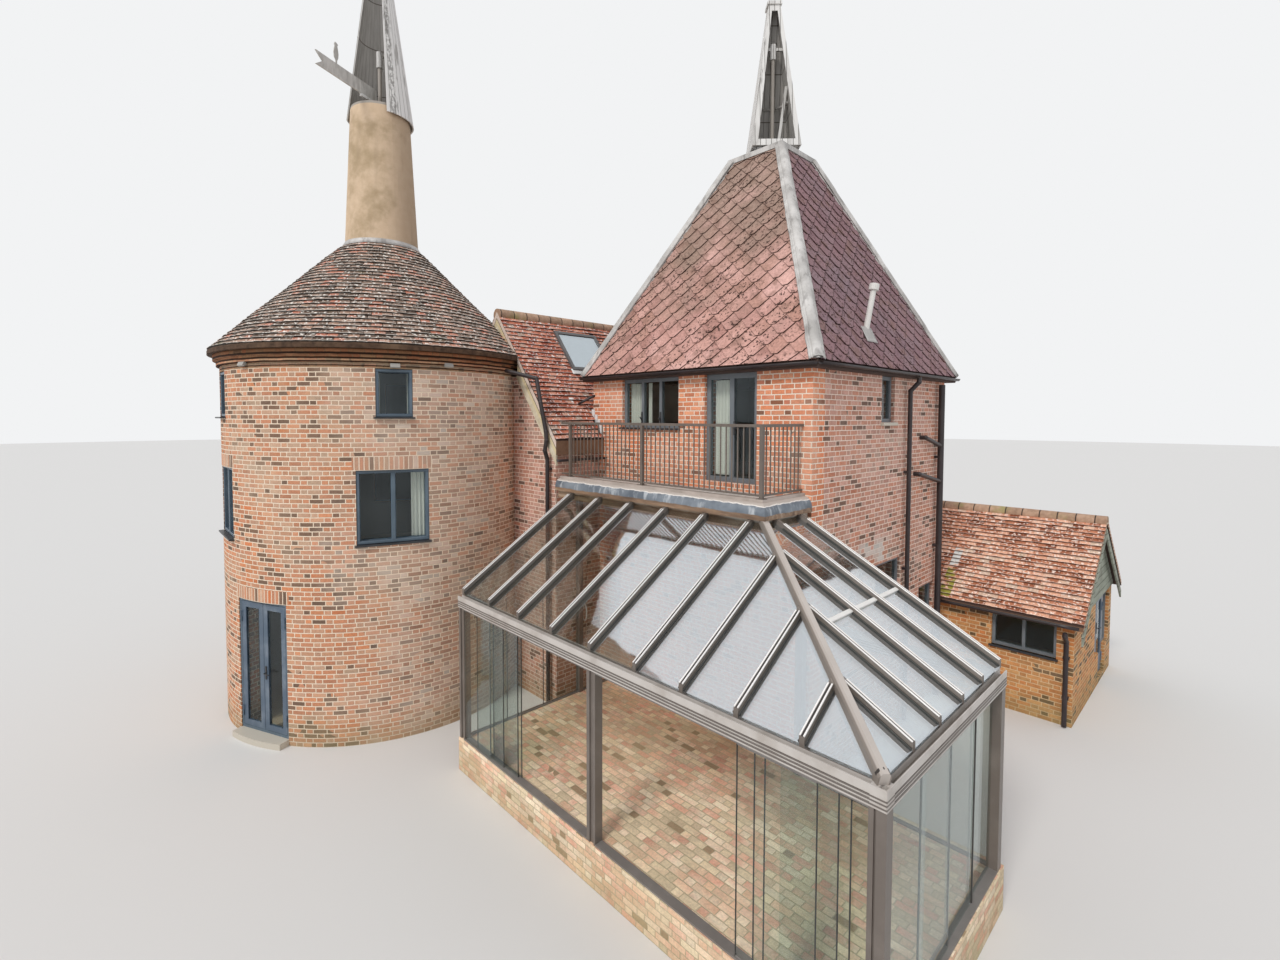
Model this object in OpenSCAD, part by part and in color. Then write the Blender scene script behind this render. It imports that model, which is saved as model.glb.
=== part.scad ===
/* [Square kiln] */
// Width of the square kiln across its front wall
kiln_w = 4700; // [4500:10:4900]
// Depth of the square kiln from front to back
kiln_d = 5000; // [4800:10:5200]
// Thickness of the kiln walls
kiln_wall = 330; // [300:5:350]
// Height of the kiln brickwork above the lowest ground
kiln_top = 6050; // [5950:10:6150]
// How far the roof edge stands out from the walls
kiln_eaves = 150; // [120:5:170]
// Height of the cut-off top of the pyramid roof
kiln_roof_top = 10220; // [10120:10:10320]
// Width of the cut-off top of the pyramid roof
kiln_roof_flat = 1120; // [1060:10:1180]
// Side of the square cowl at its foot
sq_cowl_foot = 900; // [880:5:920]
// Side of the square cowl at its head
sq_cowl_head = 220; // [200:5:240]
// Height of the square cowl from foot to head
sq_cowl_h = 2750; // [2700:10:2800]

/* [Round kiln] */
// Outside radius of the round kiln
round_r = 2780; // [2740:5:2820]
// Height of the round brickwork below its cornice
round_top = 6150; // [6100:10:6200]
// Height of the brick cornice
cornice_h = 300; // [270:5:330]
// Outside radius of the tiled roof at its edge
round_eaves_r = 2960; // [2930:5:2990]
// Height at which the tiled cone stops against the neck
round_cone_top = 8700; // [8600:10:8800]
// Radius of the rendered neck at its foot
neck_foot_r = 690; // [670:5:700]
// Radius of the rendered neck at its top
neck_top_r = 555; // [545:5:565]
// Height of the top of the neck
neck_top = 11400; // [11300:10:11500]
// Radius of the round cowl at its hem
cowl_hem_r = 630; // [620:5:640]
// Radius of the round cowl at its head
cowl_head_r = 130; // [120:5:140]
// Height of the round cowl from hem to head
cowl_h = 3640; // [3500:10:3750]

/* [Conservatory] */
// Height of the conservatory floor above the lowest ground
floor_up = 500; // [450:10:520]
// Width of the conservatory from the left side to the right side
cons_w = 6335; // [6285:10:6385]
// How far the front frame stands out from the kiln wall
cons_out = 3190; // [3150:10:3230]
// Height of the eaves beam top above the floor
beam_up = 2176; // [2150:2:2200]
// Depth of the eaves beam
beam_h = 168; // [150:2:180]

/* [Stowage] */
// Width of the gabled stowage between its outer wall faces
stow_w = 3700; // [3650:10:3750]
// Height of the stowage ridge
stow_ridge_z = 7480; // [7400:10:7550]
// Rise of the stowage roof for each unit of run
stow_pitch = 1.283; // [1.25:0.005:1.3]

/* [Outbuilding] */
// Length of the outbuilding along its ridge
shed_len = 4530; // [4450:10:4600]
// Depth of the outbuilding from front to back
shed_d = 3800; // [3700:10:3900]
// Height of the outbuilding eaves
shed_eaves_z = 1830; // [1800:10:1850]
// Rise of the outbuilding roof for each unit of run
shed_pitch = 0.78; // [0.76:0.005:0.8]

/* [Hidden] */
$fn = 180;

// Small gap left between pieces with curved faces that lie against each other
seat = 0.3;
// Length that carries a cut past the faces it goes through
past = 50;
// Larger than any side of the building, for cutting shapes
wide = 20000;

// Square kiln
front_y = -kiln_d / 2;
back_y = kiln_d / 2;
right_x = kiln_w / 2;
left_x = -kiln_w / 2;
fascia_h = 120;
kiln_roof_edge_z = kiln_top + fascia_h;
kiln_roof_skin = 160;
kiln_roof_w = kiln_w + 2 * kiln_eaves;
kiln_roof_d = kiln_d + 2 * kiln_eaves;
curb_w = 110;
curb_h = 90;
hip_w = 170;
hip_h = 35;
upper_floor_z = 4300;
floor_t = 250;
frame_depth = 70;
frame_bar = 60;
frame_set = 60;
glass_t = 12;

// Windows of the square kiln: along the wall from, to, then height from, to
front_window = [-1520, -130, 5180, kiln_top];
french_door = [430, 1430, 4350, kiln_top];
side_window = [-310, 190, 5290, kiln_top];
low_window_a = [-440, 580, 2300, 2950];
low_window_b = [back_y - 1090, back_y - 370, 1600, 2220];
back_window = [-250, 250, 5290, kiln_top];

// Square cowl, turned so that its open side looks over the front right hip
sq_cowl_z = kiln_roof_top + 180;
sq_cowl_turn = -45;
cowl_skin = 25;
sq_jamb = 95;
sq_sill = 120;
sq_ring_up = 990;
sq_brace_top = 1280;
sq_brace_w = 50;
spindle_r = 36;
spindle_gap = 4;
hub_r = 60;
spoke_w = 50;
sq_spindle_top = sq_cowl_z + 2000;
cap_h = 60;
cap_over = 25;

// Round kiln
round_x = -5775;
round_y = -5215;
round_in = round_r - kiln_wall;
cornice_step = 50;
cornice_top = round_top + cornice_h;
tile_edge = 60;
roof_in_top_r = 500;
collar_h = 100;
collar_out = 45;
neck_in_foot = 520;
neck_in_top = 440;
cowl_hem_z = neck_top - 140;
cowl_turn = -64;
cowl_open = 108;
cowl_skin_r = 25;
cowl_open_top = 400;
cowl_foot_spoke_z = neck_top + 170;
round_spindle_top = 12600;
vane_len = 1540;
vane_h = 240;
vane_t = 30;
vane_fork = 150;
bird_at = 1080;
bird_h = 380;

// Round kiln windows: direction, width, height from, to
round_upper_window = [-18, 570, 5360, round_top];
round_lower_window = [-18.7, 1120, 3290, 4500];
round_left_upper = [-92, 570, 5360, round_top];
round_left_lower = [-92, 1120, 3290, 4500];
round_back_upper = [152, 570, 5360, round_top];
round_back_lower = [152, 1120, 3290, 4500];
round_door_dir = -65.9;
round_door_w = 1130;
round_door_z0 = 100;
round_door_z1 = 2320;
round_frame_bar = 45;
hinge_r = 11;
leaf_gap = 6;
meeting_gap = 9;
leaf_t = 45;
stile_w = 95;
knuckle_h = 90;
round_floor_1 = 2500;
round_floor_2 = 4700;
threshold_out = 160;

// Wall segment ends, as directions from the middle of the round kiln
seg_door_half = asin(round_door_w / 2 / round_r);
seg_front_end = 35;
seg_right_end = 115;
seg_back_end = 190;
seg_left_end = round_door_dir - seg_door_half + 360;

// Balcony
deck_left = -2050;
deck_right = 2250;
deck_out = 1040;
deck_z = 4060;
deck_t = 170;
kerb_h = 80;
kerb_w = 110;
board_h = 130;
board_t = 40;
lead_out = 110;
rail_y = front_y - deck_out + kerb_w / 2;
rail_top_z = 5239;
rail_low_z = 4340;
rail_post = 50;
baluster = 14;
baluster_gap = 95;
rail_left_post = -1810;
rail_mid_post = 0;
rail_right_post = deck_right - kerb_w / 2;

// Conservatory
post_w = 150;
post_d = 110;
corner_post_w = 138;
end_post_w = 120;
post_groove = 18;
cons_right = 4751;
cons_left = cons_right - cons_w;
cons_front = front_y - cons_out;
cons_back = front_y - 320;
left_post_x = cons_left + 15;
corner_post_x = cons_right - 8;
beam_w = 130;
beam_top = floor_up + beam_up;
beam_z = beam_top - beam_h;
gutter_lip = 10;
gutter_deep = 60;
mid_post_x = 1468;
roof_foot_z = beam_top + 30;
roof_top_z = deck_z - 30;
roof_top_y = front_y - deck_out - board_t;
roof_top_x = deck_right + board_t;
roof_glass_t = 24;
bar_w = 50;
bar_h = 60;
rafter_in = 60;
hip_bar_w = 100;
hip_bar_h = 100;
rafter_left = cons_left - 26;
jack_pitch = 658;
last_jack_x = cons_right - 662;
first_jack_x = last_jack_x - 3 * jack_pitch;
rafter_bays = 5;
side_bays = 5;
roof_back = cons_back + end_post_w / 2;
tall_post_y = [front_y - 1012, front_y - 926];
tall_post_w = 100;
side_track_w = 60;
track_h = 20;
lane = 24;
slide_gap = 6;
panel_foot = floor_up + track_h + seat;
panel_head = beam_z - track_h - slide_gap;
base_out = 70;

// Left front bay panels, sliding on lanes of their own
left_from = left_post_x + post_w / 2 + slide_gap;
left_to = mid_post_x - post_w / 2 - slide_gap;
left_panel_w = (left_to - left_from) / 4 + 8;
left_rest = [0, 307, 627, 679];
// Right front bay panels
right_from = mid_post_x + post_w / 2 + slide_gap;
right_to = corner_post_x - corner_post_w / 2 - slide_gap;
right_panel_w = (right_to - right_from) / 4 + 8;
right_rest = [408, 238, 148, 0];
// Right side panels, standing closed
side_from = cons_front + post_d / 2 + slide_gap;
side_to = cons_back - end_post_w / 2 - slide_gap;
side_panel_w = (side_to - side_from) / 4 + 8;

// Stowage
stow_right = -2160;
stow_left = stow_right - stow_w;
stow_mid = stow_right - stow_w / 2;
stow_front = -3550;
stow_back = kiln_d / 2;
stow_wall = 230;
stow_over = 130;
stow_verge = 90;
stow_skin = 250;
stow_eaves_z = stow_ridge_z - stow_pitch * (stow_w / 2 + stow_over);
cream_z = 6300;
cream_t = 22;
barge_h = 190;
barge_t = 28;
ridge_r = 125;
light_y = [-2440, -1310];
light_x = [-3760, -3100];
light_frame = 70;
light_up = 60;

// Outbuilding
shed_front = back_y;
shed_back = back_y + shed_d;
shed_mid = back_y + shed_d / 2;
shed_wall = 215;
shed_over = 150;
shed_verge = 150;
shed_skin = 180;
shed_floor = 100;
shed_plate_z = shed_eaves_z + shed_pitch * shed_over - shed_skin;
shed_ridge_z = shed_eaves_z + shed_pitch * (shed_d / 2 + shed_over);
shed_window = [shed_len - 1260, shed_len - 250, 1140, 1760];
shed_door = [shed_mid + 520, shed_mid + 1280];
shed_light_a = [shed_mid + 80, shed_mid + 520];
shed_light_b = [shed_mid + 1280, shed_back - shed_wall - 45];
shed_door_top = 1780;
shed_sill_z = 660;
shed_board_t = 25;

// Pipes and gutters
gutter_r = 55;
gutter_t = 6;
pipe_r = 38;
soil_r = 55;
pipe_off = 40;
pipe_foot = 20;

// Solid between two corners
module block(a, b) {
    translate(a) cube([b[0] - a[0], b[1] - a[1], b[2] - a[2]]);
}

// Outline drawn in the front view, carried from one depth to another
module along_y(y0, y1) {
    translate([0, y1, 0]) rotate([90, 0, 0]) linear_extrude(y1 - y0) children();
}

// Outline drawn in the side view, carried from one side to another
module along_x(x0, x1) {
    translate([x0, 0, 0]) rotate([90, 0, 90]) linear_extrude(x1 - x0) children();
}

// Solid with a rectangular foot and a rectangular head and straight sloping sides
module tapered(foot, head, z0, z1) {
    intersection() {
        along_y(-wide / 2, wide / 2)
            polygon([[-foot[0] / 2, z0], [foot[0] / 2, z0], [head[0] / 2, z1], [-head[0] / 2, z1]]);
        along_x(-wide / 2, wide / 2)
            polygon([[-foot[1] / 2, z0], [foot[1] / 2, z0], [head[1] / 2, z1], [-head[1] / 2, z1]]);
    }
}

// Everything between two directions seen from the middle of the round kiln
module sector(a0, a1) {
    steps = ceil((a1 - a0) / 30);
    rim = [for (i = [0:steps]) let (a = a0 + (a1 - a0) * i / steps) wide * [cos(a), sin(a)]];
    translate([0, 0, -past]) linear_extrude(wide) polygon(concat([[0, 0]], rim));
}

// Children placed at the middle of the round kiln
module at_round() {
    translate([round_x, round_y, 0]) children();
}

// Hole through the round wall, with parallel sides
module round_hole(w) {
    rotate([0, 0, w[0]])
        block([round_in - 2 * past, -w[1] / 2, w[2]], [round_r + past, w[1] / 2, w[3]]);
}

// Full ring of the round kiln wall with its windows cut through
module round_ring() {
    difference() {
        cylinder(r = round_r, h = round_top);
        translate([0, 0, -past]) cylinder(r = round_in, h = round_top + 2 * past);
        round_hole(round_upper_window);
        round_hole(round_lower_window);
        round_hole(round_left_upper);
        round_hole(round_left_lower);
        round_hole(round_back_upper);
        round_hole(round_back_lower);
    }
}

module round_segment(a0, a1) {
    color("indianred") at_round() intersection() {
        round_ring();
        sector(a0, a1);
    }
}

module round_wall_front() {
    round_segment_beside_door(round_door_dir, seg_front_end);
}

// Segment that ends on one flat jamb of the doorway
module round_segment_beside_door(a0, a1) {
    color("indianred") at_round() difference() {
        intersection() {
            round_ring();
            sector(a0, a1);
        }
        round_hole([round_door_dir, round_door_w, -past, round_top + past]);
    }
}

module round_wall_left() {
    round_segment_beside_door(seg_back_end, round_door_dir + 360);
}

module round_wall_over_door() {
    color("indianred") at_round() intersection() {
        round_ring();
        rotate([0, 0, round_door_dir])
            block([round_in - 2 * past, -round_door_w / 2, round_door_z1],
                [round_r + past, round_door_w / 2, round_top]);
    }
}

module round_wall_right() {
    round_segment(seg_front_end, seg_right_end);
}

module round_wall_back() {
    round_segment(seg_right_end, seg_back_end);
}

// Three stepped brick courses under the tiles
module round_cornice() {
    color("firebrick") at_round() difference() {
        for (i = [0:2]) translate([0, 0, round_top + i * cornice_h / 3])
            cylinder(r = round_r + i * cornice_step, h = cornice_h / 3);
        translate([0, 0, round_top - past]) cylinder(r = round_in, h = cornice_h + 2 * past);
    }
}

module round_roof() {
    color("sienna") at_round() rotate_extrude()
        polygon([[round_in, cornice_top], [round_eaves_r, cornice_top],
            [round_eaves_r, cornice_top + tile_edge], [neck_foot_r + collar_out, round_cone_top],
            [roof_in_top_r, round_cone_top]]);
}

function neck_r(z) = neck_foot_r
    + (neck_top_r - neck_foot_r) * (z - round_cone_top) / (neck_top - round_cone_top);

module round_neck() {
    color("tan") at_round() rotate_extrude()
        polygon([[neck_in_foot, round_cone_top], [neck_foot_r, round_cone_top],
            [neck_top_r, neck_top], [neck_in_top, neck_top]]);
}

// Lead collar lapped round the foot of the neck
module round_collar() {
    color("lightslategray") at_round() rotate_extrude()
        polygon([[neck_foot_r + seat, round_cone_top], [neck_foot_r + collar_out, round_cone_top],
            [neck_foot_r + collar_out, round_cone_top + collar_h / 3],
            [neck_r(round_cone_top + collar_h) + 12, round_cone_top + collar_h],
            [neck_r(round_cone_top + collar_h) + seat, round_cone_top + collar_h]]);
}

function cowl_r(z) = cowl_hem_r + (cowl_head_r - cowl_hem_r) * (z - cowl_hem_z) / cowl_h;

// Hub with a blind socket that turns on a spindle
module cowl_hub(z0, z1) {
    difference() {
        translate([0, 0, z0]) cylinder(r = hub_r, h = z1 - z0 + hub_r);
        translate([0, 0, z0 - past]) cylinder(r = spindle_r + spindle_gap, h = z1 + seat - z0 + past);
    }
}

// Ring that runs round the spindle lower down
module cowl_ring(z, h) {
    difference() {
        translate([0, 0, z]) cylinder(r = hub_r, h = h);
        translate([0, 0, z - past]) cylinder(r = spindle_r + spindle_gap, h = h + 2 * past);
    }
}

// Conical cowl, open on one side, that turns with the wind
module round_cowl() {
    head_z = cowl_hem_z + cowl_h;
    hub_z = round_spindle_top - 250;
    color("gainsboro") at_round() rotate([0, 0, cowl_turn]) {
        difference() {
            rotate_extrude() polygon([[cowl_hem_r - cowl_skin_r, cowl_hem_z],
                [cowl_hem_r, cowl_hem_z], [cowl_head_r, head_z],
                [cowl_head_r - cowl_skin_r, head_z]]);
            intersection() {
                sector(-cowl_open / 2, cowl_open / 2);
                translate([0, 0, cowl_hem_z - past])
                    cylinder(r = cowl_hem_r + past, h = cowl_h - cowl_open_top + past);
            }
        }
        translate([0, 0, head_z]) cylinder(r = cowl_head_r + cap_over, h = cap_h);
        cowl_hub(hub_z, round_spindle_top);
        cowl_ring(cowl_foot_spoke_z, spoke_w);
        intersection() {
            union() {
                difference() {
                    for (z = [round_spindle_top + spoke_w / 2, cowl_foot_spoke_z])
                        block([-cowl_hem_r, -spoke_w / 2, z], [0, spoke_w / 2, z + spoke_w]);
                    translate([0, 0, cowl_hem_z]) cylinder(r = hub_r - 5, h = cowl_h);
                }
                difference() {
                    block([-spoke_w / 2, -cowl_hem_r, cowl_foot_spoke_z],
                        [spoke_w / 2, cowl_hem_r, cowl_foot_spoke_z + spoke_w]);
                    translate([0, 0, cowl_hem_z]) cylinder(r = hub_r - 5, h = cowl_h);
                }
                difference() {
                    block([0, -spoke_w / 2, cowl_foot_spoke_z],
                        [neck_top_r - past, spoke_w / 2, cowl_foot_spoke_z + spoke_w]);
                    translate([0, 0, cowl_hem_z]) cylinder(r = hub_r - 5, h = cowl_h);
                }
            }
            rotate_extrude() polygon([[0, cowl_hem_z], [cowl_hem_r - 5, cowl_hem_z],
                [cowl_head_r - 5, head_z], [0, head_z]]);
        }
    }
}

// Upright perched bird, cut from plate
module bird_outline() {
    polygon([[-12, 0], [12, 0], [16, 60], [52, 110], [60, 190], [44, 270], [34, 310],
        [44, 345], [26, bird_h], [-8, bird_h - 6], [-40, 352], [-22, 325], [-34, 270],
        [-48, 190], [-40, 110], [-14, 60]]);
}

// Forked wind board that points the cowl, with a bird standing on it
module round_vane() {
    vane_z = cowl_foot_spoke_z + spoke_w;
    color("silver") at_round() rotate([0, 0, cowl_turn]) {
        along_y(-vane_t / 2, vane_t / 2)
            polygon([[hub_r + past, vane_z], [vane_len, vane_z], [vane_len - vane_fork, vane_z + vane_h / 2],
                [vane_len, vane_z + vane_h], [hub_r + past, vane_z + vane_h]]);
        translate([bird_at, 0, vane_z + vane_h]) along_y(-8, 8) bird_outline();
    }
}

// Fixed post that a cowl turns on, with the beam and curb that carry it
module spindle(z0, z1) {
    translate([0, 0, z0]) cylinder(r = spindle_r, h = z1 - z0);
}

module cowl_spindles() {
    sq_in = kiln_roof_flat / 2 - curb_w;
    color("dimgray") {
        at_round() {
            difference() {
                translate([0, 0, neck_top]) cylinder(r = neck_top_r - 10, h = past);
                translate([0, 0, neck_top - past]) cylinder(r = neck_in_top, h = 4 * past);
            }
            block([-neck_in_top - 20, -curb_h / 2, neck_top], [neck_in_top + 20, curb_h / 2, neck_top + past]);
            spindle(neck_top, round_spindle_top);
        }
        block([-sq_in, -curb_h / 2, kiln_roof_top], [sq_in, curb_h / 2, kiln_roof_top + curb_h - 10]);
        spindle(kiln_roof_top, sq_spindle_top);
    }
}

// Window or door frame lying in the plane y = 0 to frame_depth, with upright bars
module frame_unit(w, h, bars, bar = frame_bar) {
    difference() {
        cube([w, frame_depth, h]);
        for (i = [0:bars]) let (pane = (w - bar * (bars + 2)) / (bars + 1))
            translate([bar + i * (pane + bar), -past, bar])
                cube([pane, frame_depth + 2 * past, h - 2 * bar]);
    }
}

// Glass for the same frame, one sheet a light
module glass_unit(w, h, bars, bar = frame_bar) {
    for (i = [0:bars]) let (pane = (w - bar * (bars + 2)) / (bars + 1))
        translate([bar + i * (pane + bar), (frame_depth - glass_t) / 2, bar])
            cube([pane, glass_t, h - 2 * bar]);
}

// Children drawn as a frame, set into a window of the round kiln
module in_round(w, deep = 230) {
    at_round() rotate([0, 0, w[0]]) translate([round_r - deep, -w[1] / 2, w[2]])
        rotate([0, 0, 90]) mirror([0, 1, 0]) children();
}

round_windows = [[round_upper_window, 0], [round_lower_window, 1], [round_left_upper, 0],
    [round_left_lower, 1], [round_back_upper, 0], [round_back_lower, 1]];

function round_frame_h(w) = w[3] - w[2] - seat;

module round_window_frames() {
    color("slategray") for (w = round_windows) in_round(w[0]) frame_unit(w[0][1], round_frame_h(w[0]), w[1]);
}

door_face = sqrt(round_r * round_r - round_door_w * round_door_w / 4) - 15;
leaf_w = (round_door_w - 2 * round_frame_bar - 2 * leaf_gap - meeting_gap) / 2;
leaf_z0 = round_door_z0 + round_frame_bar + leaf_gap;
leaf_h = round_door_z1 - round_frame_bar - leaf_gap - leaf_z0;

// Children drawn with x along the doorway and y outwards from the door's outer face
module at_round_door() {
    at_round() rotate([0, 0, round_door_dir]) translate([door_face, 0, 0]) rotate([0, 0, -90]) children();
}

module round_door_frame() {
    w = round_door_w;
    color("slategray") at_round_door() {
        difference() {
            block([-w / 2, -frame_depth, round_door_z0], [w / 2, 0, round_door_z1]);
            block([-w / 2 + round_frame_bar, -frame_depth - past, round_door_z0 + round_frame_bar],
                [w / 2 - round_frame_bar, past, round_door_z1 - round_frame_bar]);
        }
        for (s = [-1, 1], z = [leaf_z0 + 150, leaf_z0 + leaf_h - 350])
            translate([s * (w / 2 - round_frame_bar - leaf_gap / 2), 0, z]) {
                difference() {
                    union() {
                        translate([0, hinge_r, 0]) cylinder(r = hinge_r, h = knuckle_h);
                        block([s > 0 ? 0 : -30, 0, 0], [s > 0 ? 30 : 0, 5, knuckle_h]);
                    }
                }
                translate([0, hinge_r, knuckle_h]) cylinder(r = hinge_r / 2, h = knuckle_h);
            }
    }
}

// One glazed leaf, drawn with its hinge line at x = 0 and its body towards +x
module door_leaf(w, h) {
    difference() {
        block([leaf_gap / 2, -leaf_t, 0], [leaf_gap / 2 + w, 0, h]);
        block([leaf_gap / 2 + stile_w, -leaf_t - past, stile_w],
            [leaf_gap / 2 + w - stile_w, past, h - stile_w]);
    }
    block([leaf_gap / 2 + stile_w, -leaf_t / 2 - glass_t / 2, stile_w],
        [leaf_gap / 2 + w - stile_w, -leaf_t / 2 + glass_t / 2, h - stile_w]);
    for (z = [150, h - 350]) translate([0, 0, z + knuckle_h + seat]) difference() {
        union() {
            translate([0, hinge_r, 0]) cylinder(r = hinge_r, h = knuckle_h);
            block([0, 0, 0], [30 + leaf_gap / 2, 5, knuckle_h]);
        }
        translate([0, hinge_r, -past]) cylinder(r = hinge_r / 2 + 0.5, h = knuckle_h + 2 * past);
    }
}

module round_door_right() {
    color("slategray") at_round_door()
        translate([-round_door_w / 2 + round_frame_bar + leaf_gap / 2, 0, leaf_z0])
            door_leaf(leaf_w, leaf_h);
}

module round_door_left() {
    color("slategray") at_round_door() mirror([1, 0, 0])
        translate([-round_door_w / 2 + round_frame_bar + leaf_gap / 2, 0, leaf_z0])
            door_leaf(leaf_w, leaf_h);
}

// Curved stone step that fills the foot of the doorway
module round_threshold() {
    color("tan") at_round() intersection() {
        difference() {
            cylinder(r = round_r + threshold_out, h = round_door_z0);
            translate([0, 0, -past]) cylinder(r = round_in, h = round_door_z0 + 2 * past);
        }
        rotate([0, 0, round_door_dir])
            block([round_in - past, -round_door_w / 2, 0],
                [round_r + 2 * threshold_out, round_door_w / 2, round_door_z0]);
    }
}

module round_floors() {
    color("burlywood") at_round() {
        cylinder(r = round_in - seat, h = round_door_z0);
        for (z = [round_floor_1, round_floor_2])
            translate([0, 0, z - floor_t]) cylinder(r = round_in - seat, h = floor_t);
    }
}

// Hole through a wall that runs along the front or back
module hole_y(w, y0, y1) {
    block([w[0], y0 - past, w[2]], [w[1], y1 + past, w[3] >= kiln_top ? kiln_top + past : w[3]]);
}

// Hole through a wall that runs from front to back
module hole_x(w, x0, x1) {
    block([x0 - past, w[0], w[2]], [x1 + past, w[1], w[3] >= kiln_top ? kiln_top + past : w[3]]);
}

module square_front_wall() {
    color("indianred") difference() {
        block([left_x, front_y, 0], [right_x, front_y + kiln_wall, kiln_top]);
        hole_y(front_window, front_y, front_y + kiln_wall);
        hole_y(french_door, front_y, front_y + kiln_wall);
    }
}

module square_back_wall() {
    color("indianred") difference() {
        block([left_x, back_y - kiln_wall, 0], [right_x, back_y, kiln_top]);
        hole_y(back_window, back_y - kiln_wall, back_y);
    }
}

module square_right_wall() {
    color("indianred") difference() {
        block([right_x - kiln_wall, front_y + kiln_wall, 0], [right_x, back_y - kiln_wall, kiln_top]);
        hole_x(side_window, right_x - kiln_wall, right_x);
        hole_x(low_window_a, right_x - kiln_wall, right_x);
        hole_x(low_window_b, right_x - kiln_wall, right_x);
    }
}

module square_left_wall() {
    color("indianred")
        block([left_x, front_y + kiln_wall, 0], [left_x + kiln_wall, back_y - kiln_wall, kiln_top]);
}

// Everything inside the roof's outer faces
module roof_outside() {
    block([-kiln_roof_w / 2, -kiln_roof_d / 2, kiln_top], [kiln_roof_w / 2, kiln_roof_d / 2, kiln_roof_edge_z]);
    tapered([kiln_roof_w, kiln_roof_d], [kiln_roof_flat, kiln_roof_flat], kiln_roof_edge_z, kiln_roof_top);
}

// Section of the roof space, wider than the space by gap on each side
module roof_space_outline(w, gap) {
    flat = kiln_roof_flat - 2 * curb_w;
    over = 100;
    lean = (w - 2 * kiln_wall - flat) / 2 / (kiln_roof_top - kiln_top) * over;
    foot = w / 2 - kiln_wall + gap;
    polygon([[-foot - lean, kiln_top - over], [foot + lean, kiln_top - over],
        [flat / 2 + gap - lean, kiln_roof_top + over], [-flat / 2 - gap + lean, kiln_roof_top + over]]);
}

// Four thick slopes, a hair apart under the hips, cut off on top under the cowl
module square_roof() {
    color("rosybrown") {
        difference() {
            roof_outside();
            along_x(-wide / 2, wide / 2) roof_space_outline(kiln_d, 0);
        }
        difference() {
            intersection() {
                roof_outside();
                along_x(-wide / 2, wide / 2) roof_space_outline(kiln_d, -seat);
            }
            along_y(-wide / 2, wide / 2) roof_space_outline(kiln_w, 0);
        }
    }
}

// Half of the hip strip outline: everything outside the roof planes by less than hip_h
module hip_shell() {
    difference() {
        tapered([kiln_roof_w + 2 * hip_h, kiln_roof_d + 2 * hip_h],
            [kiln_roof_flat + 2 * hip_h, kiln_roof_flat + 2 * hip_h], kiln_roof_edge_z, kiln_roof_top);
        tapered([kiln_roof_w, kiln_roof_d], [kiln_roof_flat, kiln_roof_flat], kiln_roof_edge_z,
            kiln_roof_top);
    }
}

// Lead strips down the four hips and the lead curb round the cut-off top
module square_hips() {
    run_x = (kiln_roof_w - kiln_roof_flat) / 2;
    run_y = (kiln_roof_d - kiln_roof_flat) / 2;
    flat = kiln_roof_flat / 2;
    strip = hip_w * 0.75;
    color("lightslategray") {
        intersection() {
            hip_shell();
            for (sx = [-1, 1], sy = [-1, 1]) linear_extrude(wide)
                polygon([[sx * (flat - strip), sy * flat], [sx * flat, sy * (flat - strip)],
                    [sx * (flat + run_x), sy * (flat + run_y - strip)],
                    [sx * (flat + run_x + past), sy * (flat + run_y + past)],
                    [sx * (flat + run_x - strip), sy * (flat + run_y)]]);
        }
        difference() {
            block([-flat - hip_h, -flat - hip_h, kiln_roof_top], [flat + hip_h, flat + hip_h,
                kiln_roof_top + curb_h]);
            block([-flat + curb_w, -flat + curb_w, kiln_roof_top - past],
                [flat - curb_w, flat - curb_w, kiln_roof_top + curb_h + past]);
        }
    }
}

// Half the clear width inside the square cowl, at a height above its foot
function sq_inside(up) = (sq_cowl_foot - (sq_cowl_foot - sq_cowl_head) * up / sq_cowl_h) / 2 - cowl_skin;

// Half hoop that stiffens the back and sides of the square cowl
module sq_cowl_hoop() {
    z = sq_cowl_z + sq_ring_up;
    difference() {
        translate([0, 0, z]) cylinder(r = sq_inside(sq_ring_up) + 8, h = spoke_w / 2);
        translate([0, 0, z - past]) cylinder(r = sq_inside(sq_ring_up) - spoke_w, h = 3 * past);
        block([0, -wide, z - past], [wide, wide, z + 2 * past]);
    }
}

// Slanting brace across the open side, from the foot spoke to the side boards
module sq_cowl_brace() {
    z0 = sq_cowl_z + 2 * spoke_w + 10;
    z1 = sq_cowl_z + sq_brace_top;
    foot = hub_r + 15;
    head = sq_inside(sq_brace_top) + 10;
    along_x(10, 40) polygon([[foot, z0], [foot + sq_brace_w, z0], [head, z1], [head - sq_brace_w, z1]]);
}

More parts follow.
